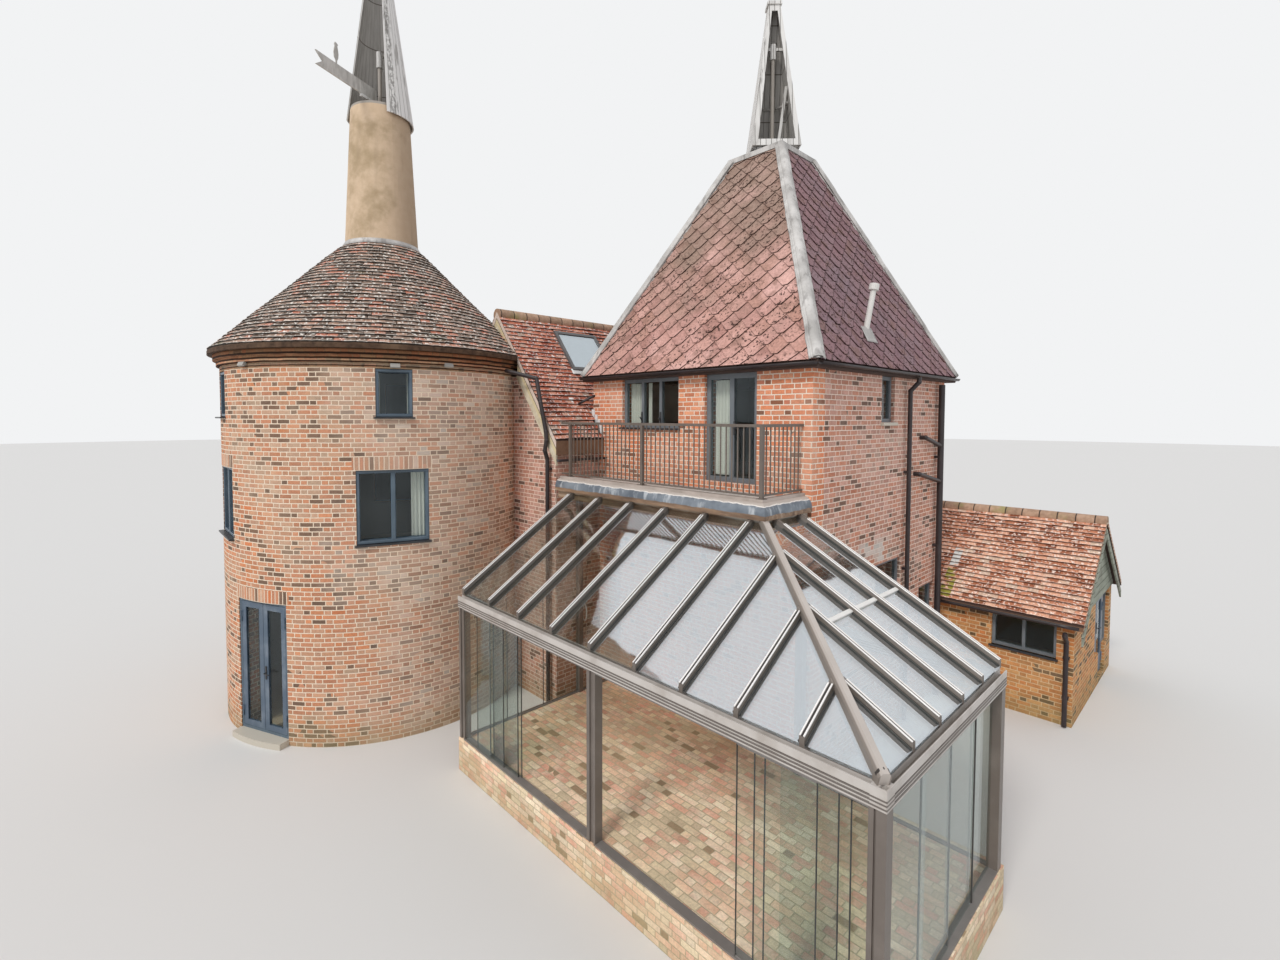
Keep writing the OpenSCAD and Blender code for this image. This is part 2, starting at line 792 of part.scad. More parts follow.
// Four-sided cowl, open on one side, that turns with the wind
module square_cowl() {
    head_z = sq_cowl_z + sq_cowl_h;
    hub_z = sq_spindle_top - 220;
    inner_foot = sq_cowl_foot - 2 * cowl_skin;
    inner_head = sq_cowl_head - 2 * cowl_skin;
    color("gainsboro") rotate([0, 0, sq_cowl_turn]) {
        difference() {
            tapered([sq_cowl_foot, sq_cowl_foot], [sq_cowl_head, sq_cowl_head], sq_cowl_z, head_z);
            tapered([inner_foot, inner_foot], [inner_head, inner_head], sq_cowl_z - 1, head_z + 1);
            intersection() {
                translate([sq_cowl_foot / 2, 0, 0])
                    tapered([sq_cowl_foot, sq_cowl_foot - 2 * sq_jamb],
                        [sq_cowl_foot, sq_cowl_head - 2 * sq_jamb + past], sq_cowl_z - 1, head_z);
                block([0, -wide, sq_cowl_z + sq_sill], [wide, wide, head_z - 2 * cap_h]);
            }
        }
        translate([0, 0, head_z]) block([-sq_cowl_head / 2 - cap_over, -sq_cowl_head / 2 - cap_over, 0],
            [sq_cowl_head / 2 + cap_over, sq_cowl_head / 2 + cap_over, cap_h]);
        cowl_hub(hub_z, sq_spindle_top);
        intersection() {
            union() {
                difference() {
                    for (z = [sq_spindle_top - spoke_w, sq_cowl_z + 2 * spoke_w]) {
                        block([-sq_cowl_foot, -spoke_w / 2, z], [0, spoke_w / 2, z + spoke_w]);
                        block([-spoke_w / 2, -sq_cowl_foot, z], [spoke_w / 2, sq_cowl_foot, z + spoke_w]);
                    }
                    translate([0, 0, sq_cowl_z]) cylinder(r = hub_r - 5, h = sq_cowl_h);
                }
                sq_cowl_hoop();
                sq_cowl_brace();
            }
            tapered([sq_cowl_foot - 10, sq_cowl_foot - 10], [sq_cowl_head - 10, sq_cowl_head - 10],
                sq_cowl_z, head_z);
        }
        cowl_ring(sq_cowl_z + 2 * spoke_w, spoke_w);
    }
}

// Children drawn as a frame, set into a hole of the front wall
module in_front(w) {
    translate([w[0], front_y + frame_set, w[2]]) children();
}

module in_back(w) {
    translate([w[0], back_y - frame_set - frame_depth, w[2]]) children();
}

module in_right(w) {
    translate([right_x - frame_set, w[0], w[2]]) rotate([0, 0, 90]) children();
}

module square_window_frames() {
    color("slategray") {
        in_front(front_window) frame_unit(front_window[1] - front_window[0],
            front_window[3] - front_window[2], 2);
        in_front(french_door) frame_unit(french_door[1] - french_door[0],
            french_door[3] - french_door[2], 1, 80);
        for (w = [side_window, low_window_a, low_window_b])
            in_right(w) frame_unit(w[1] - w[0], w[3] - w[2], 0);
        in_back(back_window) frame_unit(back_window[1] - back_window[0],
            back_window[3] - back_window[2], 0);
    }
}

module window_glass() {
    color([0.7, 0.8, 0.85, 0.4]) {
        for (w = round_windows) in_round(w[0]) glass_unit(w[0][1], round_frame_h(w[0]), w[1]);
        in_front(front_window) glass_unit(front_window[1] - front_window[0],
            front_window[3] - front_window[2], 2);
        in_front(french_door) glass_unit(french_door[1] - french_door[0],
            french_door[3] - french_door[2], 1, 80);
        for (w = [side_window, low_window_a, low_window_b])
            in_right(w) glass_unit(w[1] - w[0], w[3] - w[2], 0);
        in_back(back_window) glass_unit(back_window[1] - back_window[0],
            back_window[3] - back_window[2], 0);
        in_shed_front(shed_window) glass_unit(shed_window[1] - shed_window[0],
            shed_window[3] - shed_window[2], 1, 50);
        for (w = [shed_light_a, shed_light_b]) in_shed_gable([w[0], w[1], shed_sill_z, shed_door_top])
            glass_unit(w[1] - w[0], shed_door_top - shed_sill_z, 0, 50);
        rooflight_part(light_frame, glass_t + 10, 20);
    }
}

module square_floors() {
    inner = [[left_x + kiln_wall, front_y + kiln_wall], [right_x - kiln_wall, back_y - kiln_wall]];
    color("burlywood") for (z = [[0, floor_up], [upper_floor_z - floor_t, upper_floor_z]])
        block([inner[0][0], inner[0][1], z[0]], [inner[1][0], inner[1][1], z[1]]);
}

// Half-round gutter drawn along +x, its flat back on y = 0
module gutter(len) {
    along_x(0, len) difference() {
        translate([-gutter_r, 0]) union() {
            circle(gutter_r);
            translate([-gutter_r, 0]) square([2 * gutter_r, gutter_r / 2]);
        }
        translate([-gutter_r, 0]) circle(gutter_r - gutter_t);
        translate([-2 * gutter_r + gutter_t, 0]) square([2 * (gutter_r - gutter_t), gutter_r]);
    }
}

module eaves_gutters() {
    z = kiln_top + gutter_r;
    hw = kiln_roof_w / 2;
    hd = kiln_roof_d / 2;
    shed_z = shed_eaves_z - shed_skin / 2;
    color("dimgray") {
        translate([-hw, -hd, z]) gutter(kiln_roof_w);
        translate([hw, -hd, z]) rotate([0, 0, 90]) gutter(kiln_roof_d);
        translate([hw, hd, z]) rotate([0, 0, 180]) gutter(kiln_roof_w);
        translate([right_x + 2 * past, shed_front - shed_over, shed_z])
            gutter(shed_len + shed_verge - right_x - 2 * past);
        translate([stow_right + stow_over, stow_front - stow_verge, stow_eaves_z - 150])
            rotate([0, 0, 90]) gutter(front_y - stow_front + stow_verge - 5);
    }
}

// Pipe along a list of points, with round elbows
module pipe(route, r) {
    for (i = [0:len(route) - 2]) let (a = route[i], b = route[i + 1], d = b - a, l = norm(d))
        translate(a) rotate([0, acos(d[2] / l), atan2(d[1], d[0])]) cylinder(r = r, h = l, $fn = 24);
    for (i = [1:len(route) - 2]) translate(route[i]) sphere(r = r + 4, $fn = 24);
}

// Clip that holds an upright pipe to a wall at right_x
module clip_x(y, z, r) {
    block([right_x, y - r - 10, z], [right_x + pipe_off + r, y + r + 10, z + 40]);
}

// Clips that hold an upright pipe to a wall facing the front
module clips_y(x, y, wall_y, r, heights) {
    for (z = heights) block([x - r - 10, y, z], [x + r + 10, wall_y, z + 40]);
}

// Rainwater pipe of the square kiln, with a swan neck under the eaves
module kiln_pipe() {
    top_x = right_x + kiln_eaves + gutter_r;
    top_y = back_y - 1810;
    y = top_y - 35;
    x = right_x + pipe_off + pipe_r;
    difference() {
        pipe([[top_x, top_y, kiln_top + gutter_r], [top_x, top_y, kiln_top - 70],
            [x, y, kiln_top - 220], [x, y, pipe_foot]], pipe_r);
        translate([top_x, top_y, kiln_top + gutter_r]) rotate([90, 0, 0])
            cylinder(r = gutter_r + seat, h = 4 * gutter_r, center = true);
    }
    for (z = [900, 2700, 4400]) clip_x(y, z, pipe_r);
}

// Soil pipe of the square kiln with its two slanting branches
module soil_pipe() {
    x = right_x + pipe_off + soil_r;
    y = back_y - 400;
    pipe([[x, y, pipe_foot], [x, y, kiln_top - 60]], soil_r);
    for (z = [1200, 2900, 4600]) clip_x(y, z, soil_r);
    difference() {
        union() {
            pipe([[right_x, y - 767, 5007], [x, y - 767, 5007], [x, y, 4830]], pipe_r);
            pipe([[right_x, y - 1022, 4357], [x, y - 1022, 4357], [x, y, 4152]], pipe_r);
        }
        square_space();
    }
}

// Rainwater pipe of the outbuilding
module shed_pipe() {
    x = shed_len - 95;
    top_y = shed_front - shed_over - gutter_r;
    top_z = shed_eaves_z - shed_skin / 2;
    y = shed_front - pipe_off - pipe_r;
    difference() {
        pipe([[x, top_y, top_z], [x, top_y, shed_eaves_z - 200], [x, y, shed_eaves_z - 320],
            [x, y, pipe_foot]], pipe_r);
        translate([x, top_y, top_z]) rotate([0, 90, 0])
            cylinder(r = gutter_r + seat, h = 4 * gutter_r, center = true);
    }
    clips_y(x, y, shed_front, pipe_r, [500, 1200]);
}

// Pipe that comes from the round kiln's eaves and runs down the stowage gable
module stowage_pipe() {
    x = stow_right - 155;
    y = stow_front - pipe_off - pipe_r;
    out_y = y - 72;
    pipe([[stow_right - 940, -4000, round_top + 80], [stow_right - 324, out_y - 40, round_top - 81],
        [stow_right - 201, out_y - 40, stow_eaves_z + 690], [stow_right - 94, out_y, stow_eaves_z + 167],
        [stow_right - 77, out_y, stow_eaves_z + 5], [stow_right - 130, out_y, stow_eaves_z - 180],
        [x, y, stow_eaves_z - 340], [x, y, pipe_foot]], pipe_r);
    clips_y(x, y, stow_front, pipe_r, [1200, 2800, 4400]);
}

module downpipes() {
    color("dimgray") {
        kiln_pipe();
        soil_pipe();
        shed_pipe();
        stowage_pipe();
    }
}

// Pale flue with a cap, standing on the right-hand roof slope
module flue_pipe() {
    flue = [kiln_roof_w / 2 - 280, -670];
    run = (kiln_roof_w - kiln_roof_flat) / 2;
    rise = (kiln_roof_top - kiln_roof_edge_z) / run;
    foot_z = kiln_roof_edge_z + (kiln_roof_w / 2 - flue[0]) * rise;
    color("whitesmoke") difference() {
        translate([flue[0], flue[1], 0]) {
            translate([0, 0, foot_z - 150]) cylinder(r = 45, h = 800);
            translate([0, 0, foot_z + 560]) cylinder(r = 80, h = 90);
        }
        tapered([kiln_roof_w, kiln_roof_d], [kiln_roof_flat, kiln_roof_flat], kiln_roof_edge_z,
            kiln_roof_top);
    }
}

module balcony_deck() {
    y0 = front_y - deck_out;
    top = deck_z + deck_t;
    color("lightgray") {
        block([deck_left, y0, deck_z], [deck_right, front_y, top]);
        block([deck_left, y0, top], [deck_right, y0 + kerb_w, top + kerb_h]);
        block([deck_right - kerb_w, y0, top], [deck_right, front_y, top + kerb_h]);
        block([deck_left, y0 - board_t, deck_z - board_h], [deck_right + board_t, y0, deck_z]);
        block([deck_right, y0, deck_z - board_h], [deck_right + board_t, front_y, deck_z]);
    }
}

// Rounded lead edge drawn in the side view, with its flat back on the deck at y = 0
module lead_outline() {
    h = deck_t + kerb_h / 2;
    polygon(concat([[0, 0], [0, h]],
        [for (i = [0:10]) let (a = 90 * i / 10) [-lead_out * sin(a), h * 0.25 + h * 0.75 * cos(a)]],
        [[-lead_out, 0]]));
}

module balcony_lead_edge() {
    y0 = front_y - deck_out;
    color("slategray") {
        intersection() {
            translate([0, y0, deck_z]) along_x(deck_left, deck_right + 2 * lead_out) lead_outline();
            linear_extrude(wide) polygon([[deck_left, y0 + past], [deck_left, y0 - wide / 4],
                [deck_right + wide / 4, y0 - wide / 4], [deck_right, y0], [deck_right, y0 + past]]);
        }
        intersection() {
            translate([deck_right, 0, deck_z]) rotate([0, 0, 90]) along_x(y0 - 2 * lead_out, front_y)
                lead_outline();
            linear_extrude(wide) polygon([[deck_right - past, front_y], [deck_right + wide / 4, front_y],
                [deck_right + wide / 4, y0 - wide / 4], [deck_right, y0], [deck_right - past, y0]]);
        }
    }
}

module balcony_railing() {
    kerb = deck_z + deck_t + kerb_h;
    p = rail_post / 2;
    color("dimgray") {
        for (x = [rail_left_post, rail_mid_post, rail_right_post])
            block([x - p, rail_y - p, kerb], [x + p, rail_y + p, rail_top_z]);
        block([deck_left, rail_y - p, rail_top_z], [rail_right_post + p, rail_y + p, rail_top_z + 40]);
        block([deck_left, rail_y - p / 2, rail_low_z], [rail_right_post, rail_y + p / 2, rail_low_z + 25]);
        block([rail_right_post - p, rail_y, rail_top_z], [rail_right_post + p, front_y, rail_top_z + 40]);
        block([rail_right_post - p / 2, rail_y, rail_low_z], [rail_right_post + p / 2, front_y,
            rail_low_z + 25]);
        for (span = [[rail_left_post, rail_mid_post], [rail_mid_post, rail_right_post]])
            let (n = round((span[1] - span[0]) / baluster_gap))
                for (i = [1:n - 1]) let (x = span[0] + (span[1] - span[0]) * i / n)
                    block([x - baluster / 2, rail_y - baluster / 2, rail_low_z + 10],
                        [x + baluster / 2, rail_y + baluster / 2, rail_top_z + 5]);
        let (n = round((front_y - rail_y) / baluster_gap))
            for (i = [1:n - 1]) let (y = rail_y + (front_y - rail_y) * i / n)
                block([rail_right_post - baluster / 2, y - baluster / 2, rail_low_z + 10],
                    [rail_right_post + baluster / 2, y + baluster / 2, rail_top_z + 5]);
    }
}

function stow_z(x) = stow_ridge_z - stow_pitch * abs(x - stow_mid);

// Outline of the roof space, from the ground up to the underside of the roof
module stow_under(x0, x1, drop = stow_skin) {
    polygon([[x0, 0], [x1, 0], [x1, stow_z(x1) - drop], [stow_mid, stow_ridge_z - drop],
        [x0, stow_z(x0) - drop]]);
}

// Space taken by the round kiln with its roof
module round_space(gap = seat) {
    at_round() rotate_extrude() polygon([[0, -past], [round_r + gap, -past], [round_r + gap, round_top],
        [round_eaves_r + gap, round_top], [round_eaves_r + gap, cornice_top + tile_edge],
        [neck_foot_r + collar_out + gap, round_cone_top + gap], [0, round_cone_top + gap]]);
}

module square_space() {
    block([left_x, front_y, -past], [right_x, back_y, kiln_top]);
}

module stowage_gable_walls() {
    color("indianred") {
        difference() {
            along_y(stow_front, stow_front + stow_wall) stow_under(stow_left, stow_right);
            round_space();
        }
        difference() {
            along_y(stow_back - stow_wall, stow_back) stow_under(stow_left, stow_right);
            square_space();
        }
    }
}

module stowage_side_walls() {
    color("indianred") {
        intersection() {
            along_y(stow_front + stow_wall, front_y) stow_under(stow_left, stow_right);
            block([stow_right - stow_wall, stow_front, 0], [stow_right, front_y, wide]);
        }
        difference() {
            intersection() {
                along_y(stow_front + stow_wall, stow_back - stow_wall) stow_under(stow_left, stow_right);
                block([stow_left, stow_front, 0], [stow_left + stow_wall, stow_back, wide]);
            }
            round_space();
        }
        difference() {
            union() {
                block([stow_left + stow_wall, front_y, upper_floor_z - floor_t],
                    [left_x, stow_back - stow_wall, upper_floor_z]);
                block([stow_left + stow_wall, stow_front + stow_wall, upper_floor_z - floor_t],
                    [stow_right - stow_wall, front_y, upper_floor_z]);
            }
            round_space();
        }
    }
}

module stowage_gable_trim() {
    color("wheat") difference() {
        union() {
            intersection() {
                along_y(stow_front - cream_t, stow_front) stow_under(stow_left, stow_right);
                block([stow_left, stow_front - past, cream_z], [stow_right, stow_front, wide]);
            }
            difference() {
                along_y(stow_front - stow_verge, stow_front - stow_verge + barge_t)
                    stow_under(stow_left - stow_over, stow_right + stow_over);
                along_y(stow_front - stow_verge - past, stow_front + past)
                    stow_under(stow_left - 4 * stow_over, stow_right + 4 * stow_over, stow_skin + barge_h);
                block([-wide, stow_front - wide / 4, -past], [wide, stow_front + past, stow_eaves_z - stow_skin - barge_h]);
            }
            block([stow_mid - past, stow_front - stow_verge + barge_t, stow_ridge_z - stow_skin - barge_h],
                [stow_mid + past, stow_front - cream_t, stow_ridge_z - stow_skin - barge_h + past]);
        }
        round_space();
    }
}

module stow_shell(y0, y1) {
    difference() {
        along_y(y0, y1) stow_under(stow_left - stow_over, stow_right + stow_over, 0);
        along_y(y0 - past, y1 + past) stow_under(stow_left - stow_over - past, stow_right + stow_over + past);
    }
}

module stowage_roof() {
    color("sienna") difference() {
        stow_shell(stow_front - stow_verge, stow_back + stow_verge);
        round_space();
        square_space();
        rooflight_part(0, wide / 4, -wide / 8);
    }
}

// Block standing square to the stowage slope over the rooflight opening
module rooflight_part(inset, h, up) {
    slope = atan(stow_pitch);
    len = (light_x[1] - light_x[0]) / cos(slope);
    translate([light_x[0], 0, stow_z(light_x[0])]) rotate([0, slope, 0])
        block([inset, light_y[0] + inset, up], [len - inset, light_y[1] - inset, up + h]);
}

module rooflight() {
    color("dimgray") difference() {
        rooflight_part(0, stow_skin, light_up - stow_skin);
        rooflight_part(light_frame, 4 * stow_skin, -2 * stow_skin);
    }
}

// Half-round ridge tiles on both tiled gabled roofs
module ridge_tiles() {
    color("peru") {
        difference() {
            along_y(stow_front - stow_verge, stow_back + stow_verge)
                translate([stow_mid, stow_ridge_z - ridge_r / 2]) circle(ridge_r);
            along_y(-wide / 2, wide / 2) stow_under(stow_left, stow_right, 0);
            round_space();
        }
        difference() {
            along_x(0 - shed_verge, shed_len + shed_verge)
                translate([shed_mid, shed_ridge_z - ridge_r / 2]) circle(ridge_r);
            along_x(-wide / 2, wide / 2) shed_under(0);
        }
    }
}

module conservatory_base() {
    color("rosybrown") difference() {
        block([cons_left - base_out, cons_front - base_out, 0], [cons_right + base_out, front_y, floor_up]);
        block([right_x, cons_back + base_out + post_d / 2, -past], [wide, 0, wide]);
    }
}

// Upright post with a groove down its front face between two widths of metal
module post(x, y, w, d, top, groove) {
    difference() {
        block([x - w / 2, y - d / 2, floor_up], [x + w / 2, y + d / 2, top]);
        block([x - w / 2 + groove[0], y - d, floor_up - past],
            [x - w / 2 + groove[1], y - d / 2 + post_groove, top + past]);
    }
}

module conservatory_posts() {
    color("gray") {
        post(left_post_x, cons_front, post_w, post_d, beam_z, [52, 122]);
        post(mid_post_x, cons_front, post_w, post_d, beam_z, [52, 122]);
        post(corner_post_x, cons_front, corner_post_w, post_d, beam_z, [41, 60]);
        block([cons_right - post_d / 2, cons_back - end_post_w / 2, floor_up],
            [cons_right + post_d / 2, cons_back + end_post_w / 2, beam_z]);
        block([cons_left - tall_post_w / 2, tall_post_y[0], floor_up],
            [cons_left + tall_post_w / 2, tall_post_y[1], deck_z]);
        block([right_x, cons_back - end_post_w / 2, floor_up], [right_x + tall_post_w,
            cons_back + end_post_w / 2, beam_z]);
    }
}

// Eaves beam section, ribbed outside, with an open gutter along its outer side
module beam_outline() {
    w = beam_w / 2;
    difference() {
        translate([-w, 0]) square([beam_w, beam_h]);
        translate([-w + gutter_lip, beam_h - gutter_deep]) square([w - gutter_lip, gutter_deep + past]);
        for (z = [30, 62, 90]) translate([-w - past, z]) square([past + 5, 8]);
    }
}

module conservatory_beam() {
    w = beam_w / 2;
    color("gray") translate([0, 0, beam_z]) {
        translate([0, cons_front, 0]) along_x(cons_left - w, cons_right + w) beam_outline();
        translate([cons_right, 0, 0]) rotate([0, 0, 90]) along_x(cons_front - w, roof_back) beam_outline();
        translate([0, cons_back, 0]) block([right_x, -w / 2, 0], [cons_right - w, w / 2, beam_h]);
    }
}

front_rise = (roof_top_z - roof_foot_z) / (roof_top_y - cons_front);
side_rise = (roof_top_z - roof_foot_z) / (cons_right - roof_top_x);

// Layer over the front slope, from lo to hi above the top of the glass
module front_layer(lo, hi, x0, x1) {
    along_x(x0, x1) polygon([[cons_front, roof_foot_z + lo], [roof_top_y, roof_top_z + lo],
        [roof_top_y, roof_top_z + hi], [cons_front, roof_foot_z + hi]]);
}

// Layer over the right-hand slope
module side_layer(lo, hi, y0, y1) {
    along_y(y0, y1) polygon([[cons_right, roof_foot_z + lo], [cons_right, roof_foot_z + hi],
        [roof_top_x, roof_top_z + hi], [roof_top_x, roof_top_z + lo]]);
}

// Plan of the front slope, kept clear of the hip line by gap
module front_plan(gap) {
    linear_extrude(wide) polygon([[cons_left - wide, cons_front - past], [cons_right - gap, cons_front - past],
        [cons_right - gap, cons_front], [roof_top_x - gap, roof_top_y], [cons_left - wide, roof_top_y]]);
}

module side_plan(gap) {
    linear_extrude(wide) polygon([[cons_right + past, cons_front + gap], [cons_right, cons_front + gap],
        [roof_top_x, roof_top_y + gap], [roof_top_x, cons_back + wide], [cons_right + past, cons_back + wide]]);
}

// Rafters of the front slope, from their feet on the eaves beam to the balcony
module front_bars() {
    bays = [for (i = [0:rafter_bays]) rafter_left + (first_jack_x - rafter_left) * i / rafter_bays];
    jacks = [for (i = [1:3]) first_jack_x + i * jack_pitch];
    intersection() {
        for (x = concat(bays, jacks))
            front_layer(-roof_glass_t - rafter_in, bar_h, x - bar_w / 2, x + bar_w / 2);
        front_plan(0);
    }
}

module side_bars() {
    intersection() {
        for (i = [1:side_bays]) let (y = cons_front + (roof_back - cons_front) * i / side_bays)
            side_layer(-roof_glass_t - rafter_in, bar_h, y - bar_w / 2, y + bar_w / 2);
        side_plan(0);
    }
}

// Heavy bar along the hip, with a bevelled top
module hip_bar() {
    foot = [cons_right, cons_front, roof_foot_z];
    d = [roof_top_x, roof_top_y, roof_top_z] - foot;
    flat_len = norm([d[0], d[1]]);
    side = hip_bar_w / 2;
    bevel = hip_bar_h * 0.55;
    intersection() {
        translate(foot) rotate([0, -atan2(d[2], flat_len), atan2(d[1], d[0])])
            along_x(-past / 2, norm(d) + 2 * past) polygon([[-side, -rafter_in - roof_glass_t],
                [side, -rafter_in - roof_glass_t], [side, bevel], [side / 2, hip_bar_h],
                [-side / 2, hip_bar_h], [-side, bevel]]);
        linear_extrude(wide) polygon([[cons_right + 2 * past, cons_front - 2 * past],
            [cons_right + 2 * past, roof_top_y + past], [roof_top_x, roof_top_y + past],
            [roof_top_x, roof_top_y], [roof_top_x - past, roof_top_y],
            [roof_top_x - past, cons_front - 2 * past]]);
    }
}

// Glazing bars with the seat strip that carries them along the eaves beam
module conservatory_bars() {
    seat_w = 30;
    color("gray") difference() {
        union() {
            front_bars();
            side_bars();
            hip_bar();
            block([rafter_left - bar_w / 2, cons_front, beam_top],
                [cons_right - seat_w, cons_front + seat_w, roof_foot_z - roof_glass_t]);
            block([cons_right - seat_w, cons_front, beam_top],
                [cons_right, roof_back + bar_w / 2, roof_foot_z - roof_glass_t]);
        }
        block([-wide / 2, -wide, -past], [wide, wide, beam_top]);
        block([-wide / 2, -wide, deck_z - seat], [wide, wide, wide]);
    }
}

// One pane in each bay, cut to the bars that hold it
module conservatory_roof_glass() {
    color([0.75, 0.85, 0.9, 0.35]) difference() {
        union() {
            intersection() {
                front_layer(-roof_glass_t, 0, rafter_left, cons_right);
                front_plan(0);
            }
            intersection() {
                side_layer(-roof_glass_t, 0, cons_front, roof_back);
                side_plan(0);
            }
        }
        front_bars();
        side_bars();
        hip_bar();
    }
}

// Floor and head tracks that hold the glass panels
module conservatory_tracks() {
    t = post_d / 2;
    color("dimgray") {
        for (z = [floor_up, beam_z - track_h]) {
            block([left_post_x + post_w / 2, cons_front - t, z], [mid_post_x - post_w / 2, cons_front + t,
                z + track_h]);
            block([mid_post_x + post_w / 2, cons_front - t, z], [corner_post_x - corner_post_w / 2,
                cons_front + t, z + track_h]);
            block([cons_right - t, cons_front + t, z], [cons_right + t, cons_back - end_post_w / 2,
                z + track_h]);
            block([right_x + tall_post_w, cons_back - side_track_w / 2, z], [cons_right - t,
                cons_back + side_track_w / 2, z + track_h]);
        }
        block([cons_left - side_track_w / 2, cons_front + t, floor_up],
            [cons_left + side_track_w / 2, tall_post_y[0], floor_up + track_h]);
        block([cons_left - side_track_w / 2, tall_post_y[1], floor_up],
            [cons_left + side_track_w / 2, front_y, floor_up + track_h]);
    }
}

// Upright pane along the front, on one of four lanes
module front_panel(x, w, n) {
    y = cons_front + (n - 1.5) * lane;
    color([0.75, 0.85, 0.85, 0.35])
        block([x, y - glass_t / 2, panel_foot], [x + w, y + glass_t / 2, panel_head]);
}

// Heights of the raked glass heads, just under the end rafters
function left_glass_z(y) = roof_foot_z - roof_glass_t - rafter_in - seat + (y - cons_front) * front_rise;
function back_glass_z(run) = roof_foot_z - roof_glass_t - seat + run * side_rise;

// Where the left-hand glass meets the underside of the balcony's edge board
left_top_z = deck_z - board_h - seat;
left_top_y = cons_front + (left_top_z - left_glass_z(cons_front)) / front_rise;

module fixed_glass_panels() {
    front_panel(left_from, left_panel_w, 0);
    front_panel(right_to - right_panel_w, right_panel_w, 3);
    color([0.75, 0.85, 0.85, 0.35]) {
        for (n = [0:3]) let (x = cons_right + (1.5 - n) * lane,
            y = side_from + n * (side_to - side_from - side_panel_w) / 3)
            block([x - glass_t / 2, y, panel_foot], [x + glass_t / 2, y + side_panel_w, panel_head]);
        block([right_x + tall_post_w, cons_back - glass_t / 2, panel_foot],
            [cons_right - post_d / 2, cons_back + glass_t / 2, beam_z - track_h]);
        along_x(cons_left - glass_t / 2, cons_left + glass_t / 2)
            polygon([[cons_front + post_d / 2, panel_foot], [tall_post_y[0], panel_foot],
                [tall_post_y[0], left_top_z], [left_top_y, left_top_z], [cons_front + beam_w / 2,
                left_glass_z(cons_front + beam_w / 2)], [cons_front + beam_w / 2, beam_z],
                [cons_front + post_d / 2, beam_z]]);
        block([cons_left - glass_t / 2, tall_post_y[1], panel_foot],
            [cons_left + glass_t / 2, front_y, deck_z]);
        along_y(cons_back - glass_t / 2, cons_back + glass_t / 2) polygon([[right_x, beam_top],
            [cons_right - beam_w / 2, beam_top], [cons_right - beam_w / 2, back_glass_z(beam_w / 2)],
            [right_x, back_glass_z(cons_right - right_x)]]);
    }
}

module sliding_panel_left_2() {
    front_panel(left_from + left_rest[1], left_panel_w, 1);
}

module sliding_panel_left_3() {
    front_panel(left_from + left_rest[2], left_panel_w, 2);
}

module sliding_panel_left_4() {
    front_panel(left_from + left_rest[3], left_panel_w, 3);
}

module sliding_panel_right_1() {
    front_panel(right_to - right_panel_w - right_rest[0], right_panel_w, 0);
}

module sliding_panel_right_2() {
    front_panel(right_to - right_panel_w - right_rest[1], right_panel_w, 1);
}

module sliding_panel_right_3() {
    front_panel(right_to - right_panel_w - right_rest[2], right_panel_w, 2);
}

function shed_z(y) = shed_ridge_z - shed_pitch * abs(y - shed_mid);

// Outline of the outbuilding up to the underside of its roof
module shed_under(drop) {
    polygon([[shed_front - shed_over, 0], [shed_back + shed_over, 0],
        [shed_back + shed_over, shed_z(shed_back + shed_over) - drop], [shed_mid, shed_ridge_z - drop],
        [shed_front - shed_over, shed_z(shed_front - shed_over) - drop]]);
}

module outbuilding_long_walls() {
    color("indianred") {
        difference() {
            intersection() {
                block([0, shed_front, 0], [shed_len, shed_front + shed_wall, wide]);
                along_x(0, shed_len) shed_under(shed_skin);
            }
            hole_y(shed_window, shed_front, shed_front + shed_wall);
        }
        intersection() {
            block([0, shed_back - shed_wall, 0], [shed_len, shed_back, wide]);
            along_x(0, shed_len) shed_under(shed_skin);
        }
    }
}

module outbuilding_gable_walls() {
    color("indianred") {
        difference() {
            shed_gable(shed_len - shed_wall, shed_len);
            hole_x([shed_door[0], shed_door[1], shed_floor, shed_door_top], shed_len - shed_wall, shed_len);
            for (w = [shed_light_a, shed_light_b])
                hole_x([w[0], w[1], shed_sill_z, shed_door_top], shed_len - shed_wall, shed_len);
        }
        shed_gable(0, shed_wall);
        block([shed_wall, shed_front + shed_wall, 0],
            [shed_len - shed_wall, shed_back - shed_wall, shed_floor]);
    }
}

module shed_gable(x0, x1) {
    intersection() {
        block([x0, shed_front + shed_wall, 0], [x1, shed_back - shed_wall, wide]);
        along_x(x0, x1) shed_under(shed_skin);
    }
}

module outbuilding_roof() {
    color("sienna") difference() {
        along_x(-shed_verge, shed_len + shed_verge) shed_under(0);
        along_x(-wide / 2, wide / 2) shed_under(shed_skin);
        square_space();
    }
}

// Grey boards over the gable end and the verge boards under the tiles
module outbuilding_gable_boards() {
    x = shed_len;
    color("darkseagreen") {
        intersection() {
            along_x(x, x + shed_board_t) shed_under(shed_skin);
            block([x, shed_front, shed_door_top + 30], [x + shed_board_t, shed_back, wide]);
        }
        difference() {
            along_x(x + shed_verge - barge_t, x + shed_verge) shed_under(shed_skin);
            along_x(x, x + wide) shed_under(shed_skin + barge_h * 0.8);
            block([0, -wide, -past], [wide, wide, shed_z(shed_front - shed_over) - shed_skin - barge_h * 0.8]);
        }
    }
}

module in_shed_front(w) {
    translate([w[0], shed_front + frame_set, w[2]]) children();
}

module in_shed_gable(w) {
    translate([shed_len - frame_set, w[0], w[2]]) rotate([0, 0, 90]) children();
}

